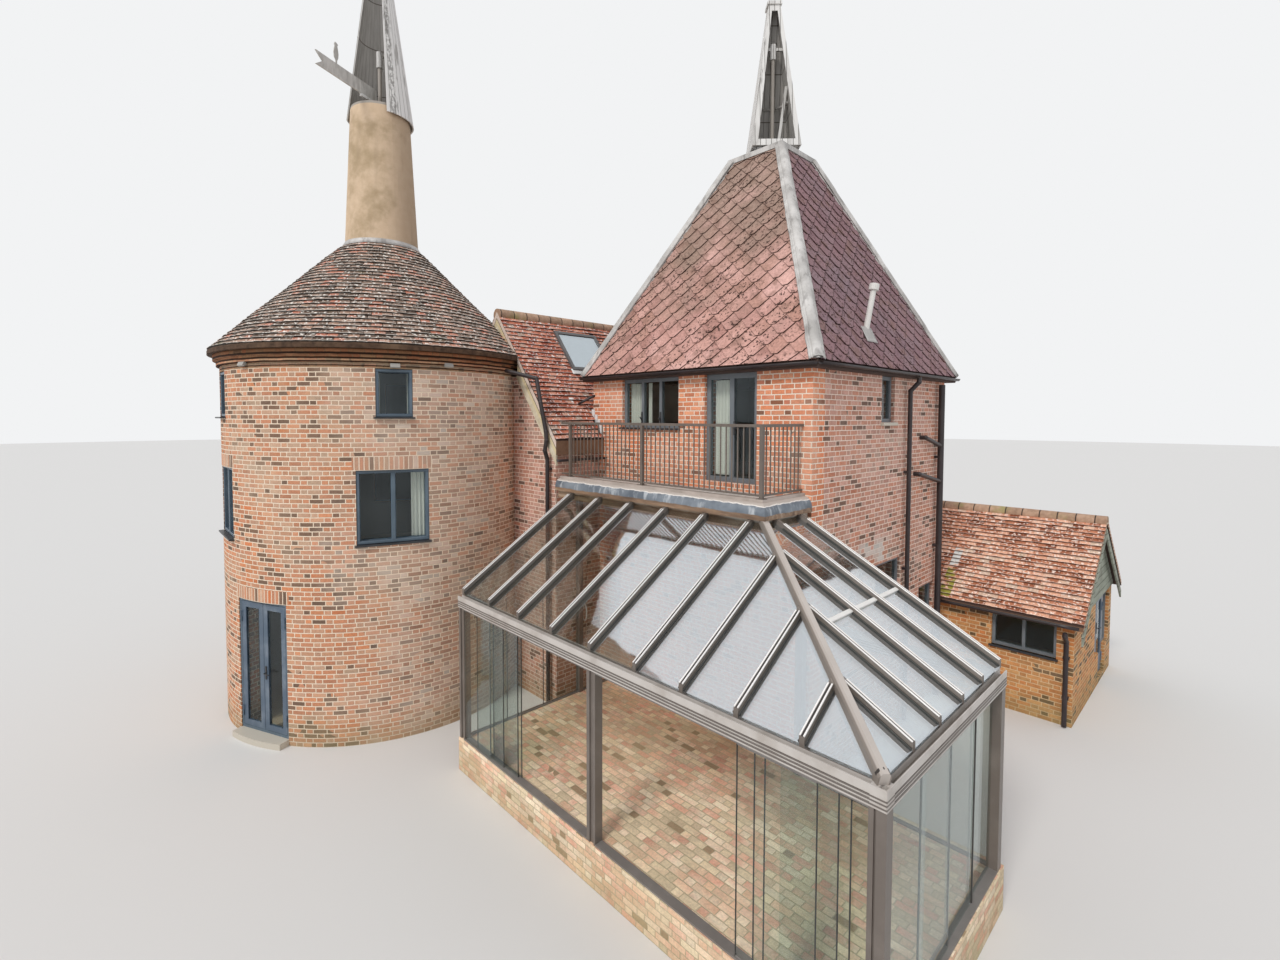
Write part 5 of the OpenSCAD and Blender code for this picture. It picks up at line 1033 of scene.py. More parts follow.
def joined(*parts: Mesh) -> Mesh:
    """Several meshes as one, with each part's face numbers moved past the points before it."""
    counts = np.cumsum([0] + [len(p) for p, _ in parts[:-1]])
    faces = [f + count for (_, f), count in zip(parts, counts)]
    return np.concatenate([p for p, _ in parts]), np.concatenate(faces)


def tube(path: Array, radii: Array, sides: int = 14, up: Sequence[float] = (1, 0, 0)
         ) -> Mesh:
    """Closed round bar along a path.

    Formula: at each path point a ring of the given radius lies across the mean direction of the
    path there, turned by a fixed direction; a point closes each end.
    """
    path = np.asarray(path, float)
    run = np.gradient(path, axis=0)
    run /= np.linalg.norm(run, axis=1, keepdims=True)
    side = np.cross(np.asarray(up, float), run)
    side /= np.linalg.norm(side, axis=1, keepdims=True)
    top = np.cross(run, side)
    turn = np.linspace(0, math.tau, sides, endpoint=False)
    rings = path[:, None] + np.asarray(radii, float)[:, None, None] * (
        np.cos(turn)[:, None] * side[:, None] + np.sin(turn)[:, None] * top[:, None])
    m = len(path)
    points = np.concatenate([rings.reshape(-1, 3), path[:1], path[-1:]])
    i = np.arange(sides)
    j = (i + 1) % sides
    row = (np.arange(m - 1) * sides)[:, None]
    a, b, c, d = row + i, row + j, row + sides + j, row + sides + i
    body = np.stack([a, b, c, a, c, d], -1).reshape(-1, 3)
    foot = np.stack([j, i, np.full(sides, m * sides)], 1)
    last = (m - 1) * sides
    head = np.stack([i + last, j + last, np.full(sides, m * sides + 1)], 1)
    return points, np.concatenate([body, foot, head])


def grid(points: Array) -> Mesh:
    """Open sheet of quads over an array of rows by columns of points."""
    m, n = points.shape[:2]
    index = np.arange(m * n).reshape(m, n)
    quads = np.stack([index[:-1, :-1], index[:-1, 1:], index[1:, 1:], index[1:, :-1]], -1).reshape(-1, 4)
    return points.reshape(-1, 3), quads


def thicken(piece: bpy.types.Object, thick: float, offset: float = -1.0) -> None:
    """Give a sheet its thickness, behind its face unless the offset says otherwise."""
    solid = piece.modifiers.new("thickness", "SOLIDIFY")
    solid.thickness, solid.offset = thick, offset


@dataclass
class Slope:
    """A flat roof slope: origin at its left foot, one axis along the eaves and one up the slope."""

    foot: tuple[float, float, float]
    along: tuple[float, float, float]
    up: tuple[float, float, float]

    def place(self, u: Array, v: Array, h: Array) -> Array:
        """Points at u along, v up and h out: foot + u * along + v * up + h * (along x up)."""
        a, b = np.array(self.along), np.array(self.up)
        a, b = a / np.linalg.norm(a), b / np.linalg.norm(b)
        n = np.cross(a, b)
        return np.array(self.foot) + u[..., None] * a + v[..., None] * b + h[..., None] * n


@dataclass
class Cone:
    """A cone roof: u is the angle about its axis, v the distance up the slope."""

    foot_radius: float
    foot_z: float
    head_radius: float
    head_z: float
    centre: tuple[float, float] = ROUND_AXIS

    def side(self) -> tuple[float, float, float]:
        """Run, rise and length of the sloping side."""
        run, rise = self.foot_radius - self.head_radius, self.head_z - self.foot_z
        return run, rise, math.hypot(run, rise)

    def place(self, u: Array, v: Array, h: Array) -> Array:
        """Points at radius and height of the sloping side, pushed out by h along its normal."""
        run, rise, length = self.side()
        radius = self.foot_radius - v * run / length + h * rise / length
        height = self.foot_z + v * rise / length + h * run / length
        x, y = self.centre
        return rows(x + radius * np.cos(u), y + radius * np.sin(u), height)


TILE_FACES = np.array([[0, 1, 4], [0, 4, 3], [1, 2, 5], [1, 5, 4], [3, 4, 7], [3, 7, 6], [4, 5, 8],
                       [4, 8, 7], [0, 3, 6], [2, 8, 5]])


def tile_mesh(surface: Slope | Cone, u0: Array, u1: Array, v0: Array, v1: Array,
              lift: Array, rng: np.random.Generator, thick: float = 0.02, crown: float = 0.005,
              tip: float = 0.006) -> tuple[Array, Array, dict[str, Array]]:
    """Cambered wedge tiles.

    Formula: each tile has three columns across it and three rows: the foot of its lower edge, the
    top of its lower edge and its upper edge. Height is thick at the lower edge and tip at the
    upper one, plus crown times (1 - c squared), where c runs from -1 to 1 across the tile.

    Args:
        surface: the roof surface that places the points.
        u0, u1: left and right edges of the tiles.
        v0, v1: lower and upper edges of the tiles.
        lift: extra height of each tile, for sagging rows.
        rng: seeded source of small differences.
        thick: height of the lower edge.
        crown: camber across a tile.
        tip: height of the upper edge.

    Returns:
        Points, faces and the marks tone and rim.
    """
    n = len(u0)
    across = np.array([-1.0, 0.0, 1.0])
    mid, half = (u0 + u1) / 2, (u1 - u0) / 2
    skew = rng.normal(0, 0.0035, n)[:, None] * across
    u = mid[:, None] + half[:, None] * across
    u = np.repeat(u[:, None, :], 3, 1)
    v = np.stack([v0[:, None] + skew, v0[:, None] + skew, np.repeat(v1[:, None], 3, 1)], 1)
    camber = crown * (1 - across ** 2)
    edge = (thick + rng.normal(0, 0.0022, n))[:, None]
    h = np.stack([np.zeros((n, 3)) - 0.002, edge + camber, np.full((n, 3), tip) + camber * 0.4], 1)
    h = h + lift[:, None, None]
    points = surface.place(u, v, h).reshape(-1, 3)
    faces = (np.arange(n)[:, None, None] * 9 + TILE_FACES).reshape(-1, 3)
    tone = np.repeat(rng.random(n), 9)
    rim = np.tile(np.repeat([2.0, 1.0, 0.0], 3), n)
    return points, faces, {"tone": tone, "rim": rim}


@dataclass
class RoundRoof:
    """Plain tiles in rings round the cone of the round kiln."""

    cone: Cone = field(default_factory=lambda: Cone(2.96, 6.51, 0.735, 8.70))
    seed: int = 3

    def build(self) -> None:
        """Lay the rings from the eaves up, with as many tiles as fit each ring's girth."""
        rng = np.random.default_rng(self.seed)
        run, _, length = self.cone.side()
        rings = int((length - 0.06) / TILE_GAUGE)
        feet = 0.035 + np.arange(rings) * (length - 0.06) / rings
        radii = self.cone.foot_radius - feet * run / length
        counts = np.round(math.tau * radii / TILE_WIDTH).astype(int)
        ring = np.repeat(np.arange(rings), counts)
        index = np.concatenate([np.arange(c) for c in counts])
        step = math.tau / counts[ring]
        start = (index + 0.5 * (ring % 2) + rng.normal(0, 0.03, len(ring))) * step
        gap = 0.0022 / radii[ring]
        v0 = feet[ring] + rng.normal(0, 0.004, len(ring)) * (ring > 0)
        wave = 0.004 * np.sin(start * 5 + ring * 0.4) * (ring > 0)
        points, faces, marks = tile_mesh(self.cone, start + gap, start + step - gap, v0,
                                         feet[ring] + TILE_GAUGE * TILE_LAP, wave, rng, thick=0.027,
                                         tip=0.009)
        patch = np.exp(-((start - math.radians(-30)) / 0.55) ** 2) * 0.28
        warm = np.repeat(patch * rng.random(len(ring)) * 1.6, 9)
        marks["tone"] = np.clip(marks["tone"] * 0.8 + warm, 0, 1)
        make_piece("round_roof_tiles", points, faces, ROUND_TILE, marks)


def tile_rows(length: float, span: float, first: float, spare: float) -> tuple[Array, ...]:
    """Tiles of one plain slope, every other row moved by half a tile.

    Args:
        length: length up the slope.
        span: length along the eaves.
        first: how far up the slope the first row starts.
        spare: what the rows leave of the length.

    Returns:
        Left, right, foot and head distances of each tile, and its row.
    """
    rings = int((length - 0.05) / TILE_GAUGE)
    per = int(round(span / TILE_WIDTH))
    row, col = (a.ravel() for a in np.meshgrid(np.arange(rings), np.arange(-1, per + 1), indexing="ij"))
    left = (col + 0.5 * (row % 2)) * span / per
    foot = first + row * (length - spare) / rings
    left, end = np.clip(left, 0, span), np.clip(left + span / per, 0, span)
    return left, end, foot, foot + TILE_GAUGE * TILE_LAP, row


@dataclass
class Stowage:
    """Sagging clay tiles on both slopes of the stowage, cut round the kilns and the rooflight."""

    mid: float = STOWAGE_MID
    half: float = 1.98
    ridge_z: float = STOWAGE_RIDGE
    pitch: float = STOWAGE_PITCH
    front: float = -3.64
    back: float = 2.59
    light_y: tuple[float, float] = (-2.44, -1.31)
    light_up: tuple[float, float] = (1.07, 1.73)
    seed: int = 5

    def cut(self, left: Array, end: Array, foot: Array, head: Array,
            fall: float) -> tuple[Array, ...]:
        """Cut the tiles beside the square kiln's wall and round the rooflight.

        Args:
            left, end: edges of the tiles along y.
            foot, head: lower and upper edges up the slope.
            fall: slope length for each metre across.

        Returns:
            The four edges, and which tiles lie wholly inside the rooflight.
        """
        wall = (self.half - (-self.mid - KILN_X)) * fall + 0.004
        crossing = (end > -KILN_Y) & (left < -KILN_Y) & (foot < wall)
        end = np.where(crossing & (-KILN_Y - left > 0.5 * (end - left)), -KILN_Y, end)
        foot = np.where((end > -KILN_Y + 1e-6) & (foot < wall), wall, foot)
        near, far = self.light_y
        low, high = (up * fall for up in self.light_up)
        hole = (end > near) & (left < far) & (head > low) & (foot < high)
        into_left, into_right = hole & (left < near), hole & (end > far)
        end, left = np.where(into_left, near, end), np.where(into_right, far, left)
        inner = hole & ~into_left & ~into_right
        head = np.where(inner & (foot < low), np.minimum(head, low), head)
        foot = np.where(inner & (foot >= low) & (head > high), np.maximum(foot, high), foot)
        return left, end, foot, head, inner & (foot >= low) & (head <= high)

    def slope(self, right: bool) -> None:
        """Lay one slope.

        Args:
            right: True for the slope that faces the square kiln.
        """
        rng = np.random.default_rng(self.seed + right)
        fall = math.hypot(1.0, self.pitch)
        length = self.half * fall
        eaves_z = self.ridge_z - self.pitch * self.half
        span = self.back - self.front
        side, start = (1, self.front) if right else (-1, self.back)
        foot = (self.mid + side * self.half, start, eaves_z)
        surface = Slope(foot, (0, side, 0), (-side, 0, self.pitch))
        left, end, foot, head, row = tile_rows(length, span, 0.03, 0.05)
        dead = np.zeros(len(left), bool)
        if right:
            left, end = left + self.front, end + self.front
            left, end, foot, head, dead = self.cut(left, end, foot, head, fall)
            left, end = left - self.front, end - self.front
        keep = (end - left > 0.02) & (head - foot > 0.02) & ~dead
        centre = surface.place((left + end) / 2, (foot + head) / 2, np.zeros(len(left)))
        reach = np.hypot(centre[:, 0] - ROUND_AXIS[0], centre[:, 1] - ROUND_AXIS[1])
        keep &= reach > np.where(centre[:, 2] < 6.5, 2.7, 2.66 - (centre[:, 2] - 6.45) * 0.99)
        left, end, foot, head, row = (a[keep] for a in (left, end, foot, head, row))
        sag = 0.012 * np.sin(left * 1.7 + row * 0.15) + 0.006 * np.sin(left * 4.3 + row)
        points, faces, marks = tile_mesh(surface, left + 0.0015, end - 0.0015, foot + sag * 0.5, head,
                                         np.clip(sag, -0.004, 0.014), rng, thick=0.026, tip=0.008)
        name = "stowage_tiles_" + ("right" if right else "left")
        make_piece(name, points, faces, STOWAGE_TILE, marks)

    def build(self) -> None:
        """Lay both slopes."""
        for right in (True, False):
            self.slope(right)


@dataclass
class Outbuilding:
    """Tiles and small fittings of the low outbuilding."""

    mid: float = 4.4
    half: float = 2.05
    ridge_z: float = 3.429
    pitch: float = 0.78
    left: float = -0.15
    right: float = 4.68
    seed: int = 11

    def slope(self, front: bool) -> None:
        """Lay the tiles of one slope, cut where the square kiln's corner stands in it."""
        rng = np.random.default_rng(self.seed + front)
        fall = math.hypot(1.0, self.pitch)
        length = self.half * fall
        eaves_z = self.ridge_z - self.pitch * self.half
        span = self.right - self.left
        side, origin = (1, self.left) if front else (-1, self.right)
        foot = (origin, self.mid - side * self.half, eaves_z)
        surface = Slope(foot, (side, 0, 0), (0, side, self.pitch))
        start, end, foot, head, row = tile_rows(length, span, 0.04, 0.06)
        if front:
            wall = 0.15 * fall + 0.004
            corner = KILN_X - self.left
            start = np.where((start < corner) & (end > corner) & (foot < wall), corner, start)
            foot = np.where((start < corner - 1e-6) & (foot < wall), wall, foot)
        keep = (end - start > 0.02) & (head - foot > 0.02)
        start, end, foot, head, row = (a[keep] for a in (start, end, foot, head, row))
        sag = 0.006 * np.sin(start * 2.1 + row * 0.3)
        points, faces, marks = tile_mesh(surface, start + 0.0015, end - 0.0015, foot, head,
                                         np.clip(sag, -0.003, 0.008), rng, thick=0.024, tip=0.008)
        name = "outbuilding_tiles_" + ("front" if front else "back")
        make_piece(name, points, faces, SHED_TILE, marks)

    def level(self, y: float) -> float:
        """Height of the deck's top at a distance along y."""
        return self.ridge_z - self.pitch * abs(y - self.mid)

    def slabs(self) -> None:
        """Thin roof deck in place of the CAD one, with wall plates and rake boards."""
        drop = 0.075
        parts = []
        for x0, x1, y0 in ((self.left, KILN_X, 2.504), (KILN_X + 0.002, self.right, self.mid - self.half),
                           (self.left, self.right, self.mid + self.half)):
            if y0 > self.mid:
                y0 -= 0.002
            ring = np.array([[y0, self.level(y0)], [self.mid, self.ridge_z],
                             [self.mid, self.ridge_z - drop], [y0, self.level(y0) - drop]])
            points = np.concatenate([np.column_stack([np.full(4, x), ring]) for x in (x0, x1)])
            sides = np.array([[0, 1, 5], [0, 5, 4], [1, 2, 6], [1, 6, 5], [2, 3, 7], [2, 7, 6], [3, 0, 4],
                              [3, 4, 7], [0, 3, 2], [0, 2, 1], [4, 5, 6], [4, 6, 7]])
            parts.append((points, sides if y0 > self.mid else sides[:, ::-1]))
        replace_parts(make_piece("outbuilding_deck", *joined(*parts), ROOF_EDGE), "outbuilding_roof")
        plates = prisms([[2.352, 2.607, 1.817], [0.0, 6.193, 1.817]],
                        [[4.53, 2.607, 1.817], [4.53, 6.193, 1.817]], 0.21, 0.1, bevel=0.05)
        make_piece("outbuilding_wall_heads", *plates, SHED_BRICK)
        rakes = []
        for x, y0 in ((4.49, 2.51), (4.49, 6.29), (0.1, 6.29)):
            foot, head = [x, y0, self.level(y0) - 0.128], [x, self.mid, self.ridge_z - 0.128]
            rakes.append(prisms(foot, head, 0.12, 0.085, bevel=0.05))
        make_piece("outbuilding_rakes", *joined(*rakes), GABLE_BOARDS)

    def build(self) -> None:
        """Lay both slopes on their deck."""
        self.slabs()
        for front in (True, False):
            self.slope(front)


@dataclass
class SquareRoof:
    """Diamond slates on the four slopes of the square kiln's roof."""

    foot_z: float = 6.17
    head_z: float = 10.22
    halves: tuple[float, float] = (2.5, 2.65)
    flat: float = 0.56
    pitch_u: float = 0.4
    pitch_v: float = 0.175
    seed: int = 7

    def slope(self, name: str, turn: int, plum: float) -> None:
        """Lay one slope.

        Formula: a slate is an eight-cornered diamond whose side corners and foot are cut off; its
        points are scaled from the centre, with the lower rim high and the upper corner low, and
        each point is held between the hips by limiting its distance along the eaves.

        Args:
            name: which side of the roof it is.
            turn: quarter turns from the front slope.
            plum: 0 for the salmon hue, 1 for the plum one.
        """
        rng = np.random.default_rng(self.seed + turn)
        half, depth = (self.halves if turn % 2 == 0 else self.halves[::-1])
        run, rise = depth - self.flat, self.head_z - self.foot_z
        length = math.hypot(run, rise)
        c, s = round(math.cos(turn * math.pi / 2)), round(math.sin(turn * math.pi / 2))
        surface = Slope((s * depth, -c * depth, self.foot_z), (c, s, 0), (-s * run, c * run, rise))
        rows = int(length / self.pitch_v) + 2
        cols = int(2 * half / self.pitch_u) + 3
        row, col = (a.ravel() for a in np.meshgrid(np.arange(rows) - 1, np.arange(cols) - cols // 2,
                                                   indexing="ij"))
        n = len(row)
        cu = (col + 0.5 * (row % 2)) * self.pitch_u + rng.normal(0, 0.004, n)
        cv = (row + 0.62) * self.pitch_v + rng.normal(0, 0.003, n)
        a, b = self.pitch_u / 2, self.pitch_v
        ring = np.array([[-0.22 * a, -b], [0.22 * a, -b], [0.93 * a, -0.12 * b], [0.93 * a, 0.1 * b],
                         [0.2 * a, b * 1.05], [-0.2 * a, b * 1.05], [-0.93 * a, 0.1 * b],
                         [-0.93 * a, -0.12 * b]])
        ring[:, 0] *= 1.05
        lower = ring[:, 1] < 0
        top_h = np.where(lower, 0.022, 0.006) + np.where(ring[:, 1] < -b * 0.5, 0.004, 0.0)
        inner = ring * 0.93
        inner_h = 0.004 + (top_h - 0.004) * 0.95 + 0.001
        u = cu[:, None] + np.concatenate([ring[:, 0], ring[:, 0], inner[:, 0], [0.0]])
        v = cv[:, None] + np.concatenate([ring[:, 1], ring[:, 1], inner[:, 1], [0.0]])
        h = np.broadcast_to(np.concatenate([np.zeros(8), top_h, inner_h, [0.016]]), (n, 25)).copy()
        h[:, 8:] += rng.normal(0, 0.0015, n)[:, None]
        v = np.clip(v, -0.028, length - 0.02)
        limit = half - (half - self.flat) * v / length - 0.03
        away = (np.abs(cu)[:, None] - limit).min(1)
        keep = away < a * 0.9
        u = np.clip(u, -limit, limit)
        u, v, h = u[keep], v[keep], h[keep]
        n = len(u)
        points = surface.place(u, v, h).reshape(-1, 3)
        i = np.arange(8)
        j = (i + 1) % 8
        skirt = np.stack([i, j, j + 8, i + 8], 1)[[0, 1, 2, 5, 6, 7]]
        rim_quads = np.stack([i + 8, j + 8, j + 16, i + 16], 1)
        fan = np.stack([i + 16, j + 16, np.full(8, 24), np.full(8, 24)], 1)
        tris = np.concatenate([skirt[:, [0, 1, 2]], skirt[:, [0, 2, 3]], rim_quads[:, [0, 1, 2]],
                               rim_quads[:, [0, 2, 3]], fan[:, :3]])
        faces = (np.arange(n)[:, None, None] * 25 + tris).reshape(-1, 3)
        tone = np.repeat(rng.random(n), 25)
        # rim marks: how strong the painted shadow line is at each corner, strongest along the foot and the
        # lower right edge
        rim_one = np.concatenate([np.ones(16), np.zeros(9)])
        rim_one[8:16] = [0.8, 1.0, 1.0, 0.3, 0.0, 0.0, 0.1, 0.45]
        marks = {"tone": tone, "rim": np.tile(rim_one, n), "side": np.full(n * 25, plum)}
        make_piece("diamond_slates_" + name, points, faces, SLATE, marks)

    def hip(self, sx: int, sy: int) -> None:
        """Dress one hip with fluted lead.

        Formula: across the hip the sheet follows both slopes; its height over them is a profile
        of a middle roll and three flutes on each side, with a lap every 1.6 m up the hip and a
        small wave drawn from a seeded source.

        Args:
            sx, sy: which corner, as signs along x and y.
        """
        rng = np.random.default_rng(self.seed * 10 + sx + 2 * sy)
        foot = np.array([sx * self.halves[0], sy * self.halves[1], self.foot_z])
        head = np.array([sx * self.flat, sy * self.flat, self.head_z + 0.05])
        line = (head - foot) / np.linalg.norm(head - foot)
        out = np.array([0.0, 0.023, 0.042, 0.049, 0.058, 0.07, 0.079, 0.088, 0.098, 0.107, 0.117])
        rise = np.array([0.066, 0.062, 0.052, 0.041, 0.043, 0.054, 0.043, 0.042, 0.05, 0.038, 0.024])
        t = np.linspace(0, 1, 61)
        lap = 0.008 * (1 - np.mod(t * np.linalg.norm(head - foot) / 1.6 + 0.3, 1.0))
        wave = np.repeat(rng.normal(0, 0.004, 31), 2)[:61]
        middle = foot + t[:, None] * (head - foot)
        sides = []
        for inward in (np.array([-sx, 0.0, 0.0]), np.array([0.0, -sy, 0.0])):
            along = inward - inward.dot(line) * line
            along /= np.linalg.norm(along)
            normal = np.cross(along, line)
            normal *= np.sign(normal[2])
            height = rise[None, :, None] + lap[:, None, None]
            reach = out[None, :, None] + wave[:, None, None] * (out / out[-1])[None, :, None]
            sides.append(middle[:, None] + reach * along + height * normal)
        ridge = (sides[0][:, :1] + sides[1][:, :1]) / 2
        sheet = np.concatenate([sides[0][:, :0:-1], ridge, sides[1][:, 1:]], 1)
        if sx * sy > 0:
            sheet = sheet[:, ::-1]
        points, faces = grid(sheet)
        name = f"hip_lead_{'right' if sx > 0 else 'left'}_{'back' if sy > 0 else 'front'}"
        thicken(make_piece(name, points, faces, HIP_LEAD, smooth=True), 0.004)

    def flue(self) -> None:
        """Leaning white flue with a cap, in place of the upright one, and its lead slate."""
        foot, head = np.array([2.22, -0.67, 6.70]), np.array([2.305, -0.555, 7.50])
        t = np.array([0.0, 0.06, 0.07, 0.5, 0.86, 0.87, 0.875, 0.99, 1.0])
        radii = np.array([0.075, 0.07, 0.047, 0.045, 0.045, 0.05, 0.078, 0.078, 0.07])
        points, faces = tube(foot + t[:, None] * (head - foot), radii, 20)
        piece = make_piece("leaning_flue", points, faces, FLUE_WHITE)
        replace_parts(piece, "flue_pipe")
        fall = (self.head_z - self.foot_z) / (self.halves[0] - self.flat)
        slate = Slope((2.5, -0.85, 6.17), (0, 1, 0), (-1, 0, fall))
        u, v = np.meshgrid(np.linspace(0.0, 0.36, 9), np.linspace(0.42, 0.7, 9))
        bulge = 0.034 + 0.03 * np.exp(-((u - 0.18) ** 2 + (v - 0.6) ** 2) / 0.008)
        points, faces = grid(slate.place(u, v, bulge))
        thicken(make_piece("flue_slate", points, faces, HIP_LEAD, smooth=True), 0.004)

    def build(self) -> None:
        """Lay the four slopes, then the hips and the flue."""
        hues = {"front": 0.0, "right": 1.0, "back": 0.35, "left": 0.6}
        for turn, (name, plum) in enumerate(hues.items()):
            self.slope(name, turn, plum)
        for sx in (-1, 1):
            for sy in (-1, 1):
                self.hip(sx, sy)
        self.flue()


@dataclass
class GlazedRoof:
    """Lips and channels on the conservatory's bars, cross bars, hip cap and the panels' gaskets."""

    left: float = -1.584
    right: float = HIP_FOOT[0]
    front: float = HIP_FOOT[1]
    foot_z: float = HIP_FOOT[2]
    top: tuple[float, float, float] = HIP_HEAD
    bar_up: float = 0.06
    lip: float = 0.013

    def lines(self) -> tuple[Array, Array, Array]:
        """Foot and head of every bar's top middle line, and the direction across each bar."""
        x = np.concatenate([-1.61 + 0.745 * np.arange(6), [2.773, 3.431, 4.089]])
        wide, deep = self.right - self.top[0], self.top[1] - self.front
        rise_x, rise_y = (self.top[2] - self.foot_z) / wide, (self.top[2] - self.foot_z) / deep
        hip = self.front + (self.right - x) * deep / wide - 0.1
        y = np.minimum(np.where(x < 2.2, -3.685, hip), -3.685)
        up = self.foot_z + self.bar_up
        low = rows(x, self.front + 0.004, up + 0.0025)
        high = rows(x, y, up + (y - self.front) * rise_y)
        sy = np.array([-5.104, -4.518, -3.932, -3.346, -2.76])
        sx = np.maximum(self.top[0] + (self.top[1] - sy) * wide / deep + 0.1, 2.45)
        low2 = rows(self.right - 0.004, sy, up + 0.002)
        high2 = rows(sx, sy, up + (self.right - sx) * rise_x)
        across = np.repeat(np.eye(3)[:2], (len(x), len(sy)), axis=0)
        return np.concatenate([low, low2]), np.concatenate([high, high2]), across

    def pairs(self, gap: float, drop: float, wide: float, high: float) -> tuple:
        """Two thin bars beside each glazing bar's middle line, a gap out from it and a drop below."""
        foot, head, across = self.lines()
        down = np.array([0, 0, drop])
        return joined(*(prisms(foot + side * gap * across - down, head + side * gap * across - down,
                               wide, high) for side in (-1, 1)))

    def bars(self) -> None:
        """Two pale lips and a dark channel on each bar, and pale glazing beads beside it."""
        low, high, _ = self.lines()
        make_piece("glazing_lips", *self.pairs(0.018, 0.002 - self.lip / 2, 0.014, self.lip), PALE_METAL)
        make_piece("glazing_channels", *prisms(low, high, 0.022, 0.006), CHANNEL_METAL)
        make_piece("glazing_gaskets", *self.pairs(0.031, self.bar_up - 0.008, 0.012, 0.014), GASKET)

    def cross_bars(self) -> None:
        """White transoms between the last four bars of the right-hand slope, and the hip's cap."""
        rise = (self.top[2] - self.foot_z) / (self.right - self.top[0])
        y = np.array([-4.518, -3.932, -3.346, -2.76])
        z = self.foot_z + (self.right - 3.65) * rise + 0.012
        ends = rows(3.65, y, z)
        make_piece("cross_bars", *prisms(ends[:-1] + [0, 0.026, 0], ends[1:] - [0, 0.026, 0], 0.05, 0.024,
                                         (rise, 0, 1)), WHITE_METAL)
        foot = np.array([self.right, self.front, self.foot_z])
        line = np.array(self.top) - foot
        line /= np.linalg.norm(line)
        start = foot - line * 0.012 + np.array([0, 0, 0.05])
        cap = tube(start + np.array([0, 0.006, 0.022, 0.028])[:, None] * line,
                   np.array([0.05, 0.056, 0.056, 0.05]), 8, (0, 0, 1))
        make_piece("hip_end_cap", *cap, CHANNEL_METAL)

    def stacked(self) -> None:
        """One thin sheet for each of the three panels stacked at the right, with its rails.

        The CAD panels lie four deep there, which is more glass faces than light passes through.
        """
        for n, body in enumerate(RIGHT_PANELS, 1):
            lo, hi = (np.array(c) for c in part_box(body))
            y = (lo[1] + hi[1]) / 2
            u, v = np.meshgrid(np.linspace(lo[0] + 0.004, hi[0] - 0.004, 9),
                               np.linspace(lo[2] + 0.004, hi[2] - 0.004, 17))
            sheet = rows(u, y + 0.0006 * np.sin(u * 9 + n) * np.sin(v * 7), v)
            pane = make_piece(f"{body}_sheet", *grid(sheet), SIDE_PANE, body=body, smooth=True)
            levels = (lo[2] + 0.008, hi[2] - 0.008)
            rails = prisms([[lo[0], y, z] for z in levels], [[hi[0], y, z] for z in levels], 0.011, 0.016)
            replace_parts(pane, body)
            make_piece(f"{body}_rails", *rails, DARK_TRACK, body=body)

    def gaskets(self) -> None:
        """Dark upright seals down both edges of every glass panel."""
        for body in LEFT_PANELS + RIGHT_PANELS:
            lo, hi = (np.array(c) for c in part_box(body))
            y = (lo[1] + hi[1]) / 2
            x = np.array([lo[0] + 0.005, hi[0] - 0.005])
            foot, head = rows(x, y, lo[2] + 0.002), rows(x, y, hi[2] - 0.002)
            make_piece(f"{body}_seals", *prisms(foot, head, 0.014, 0.009, (1, 0, 0)), GASKET, body=body)
        seals = []
        for x, y in ((self.right, -5.629 + 0.69375 * np.arange(1, 4)), (self.left, [-4.95, -4.25])):
            foot = rows(x, y, 0.53)
            seals.append(prisms(foot, foot + [0, 0, 1.95], 0.009, 0.016, (1, 0, 0)))
        make_piece("side_panel_seals", *joined(*seals), GASKET)

    def handles(self) -> None:
        """Two bowed pull handles on the left-hand glass door."""
        t = np.linspace(0, 1, 15)
        bow = np.sin(t * math.pi) ** 0.5 * 0.05
        parts = [tube(rows(self.left - side * (0.008 + bow), -3.354, 1.741 + 0.3 * t),
                      np.full(15, 0.011), 10, (0, 1, 0)) for side in (-1, 1)]
        make_piece("glass_door_handles", *joined(*parts), WHITE_METAL, smooth=True)

    def build(self) -> None:
        """Fit the bars, cross bars, seals and handles."""
        self.bars()
        self.cross_bars()
        self.stacked()
        self.gaskets()
        self.handles()


def folds(count: int, deep: float) -> tuple[Array, Array, Array]:
    """Shares across and up a hanging sheet, and its depth in waves that grow towards the foot."""
    s, t = np.meshgrid(np.linspace(0, 1, count * 12 + 1), np.linspace(0, 1, 19))
    return s, t, deep * np.sin(s * count * math.tau) * (0.7 + 0.3 * (1 - t))


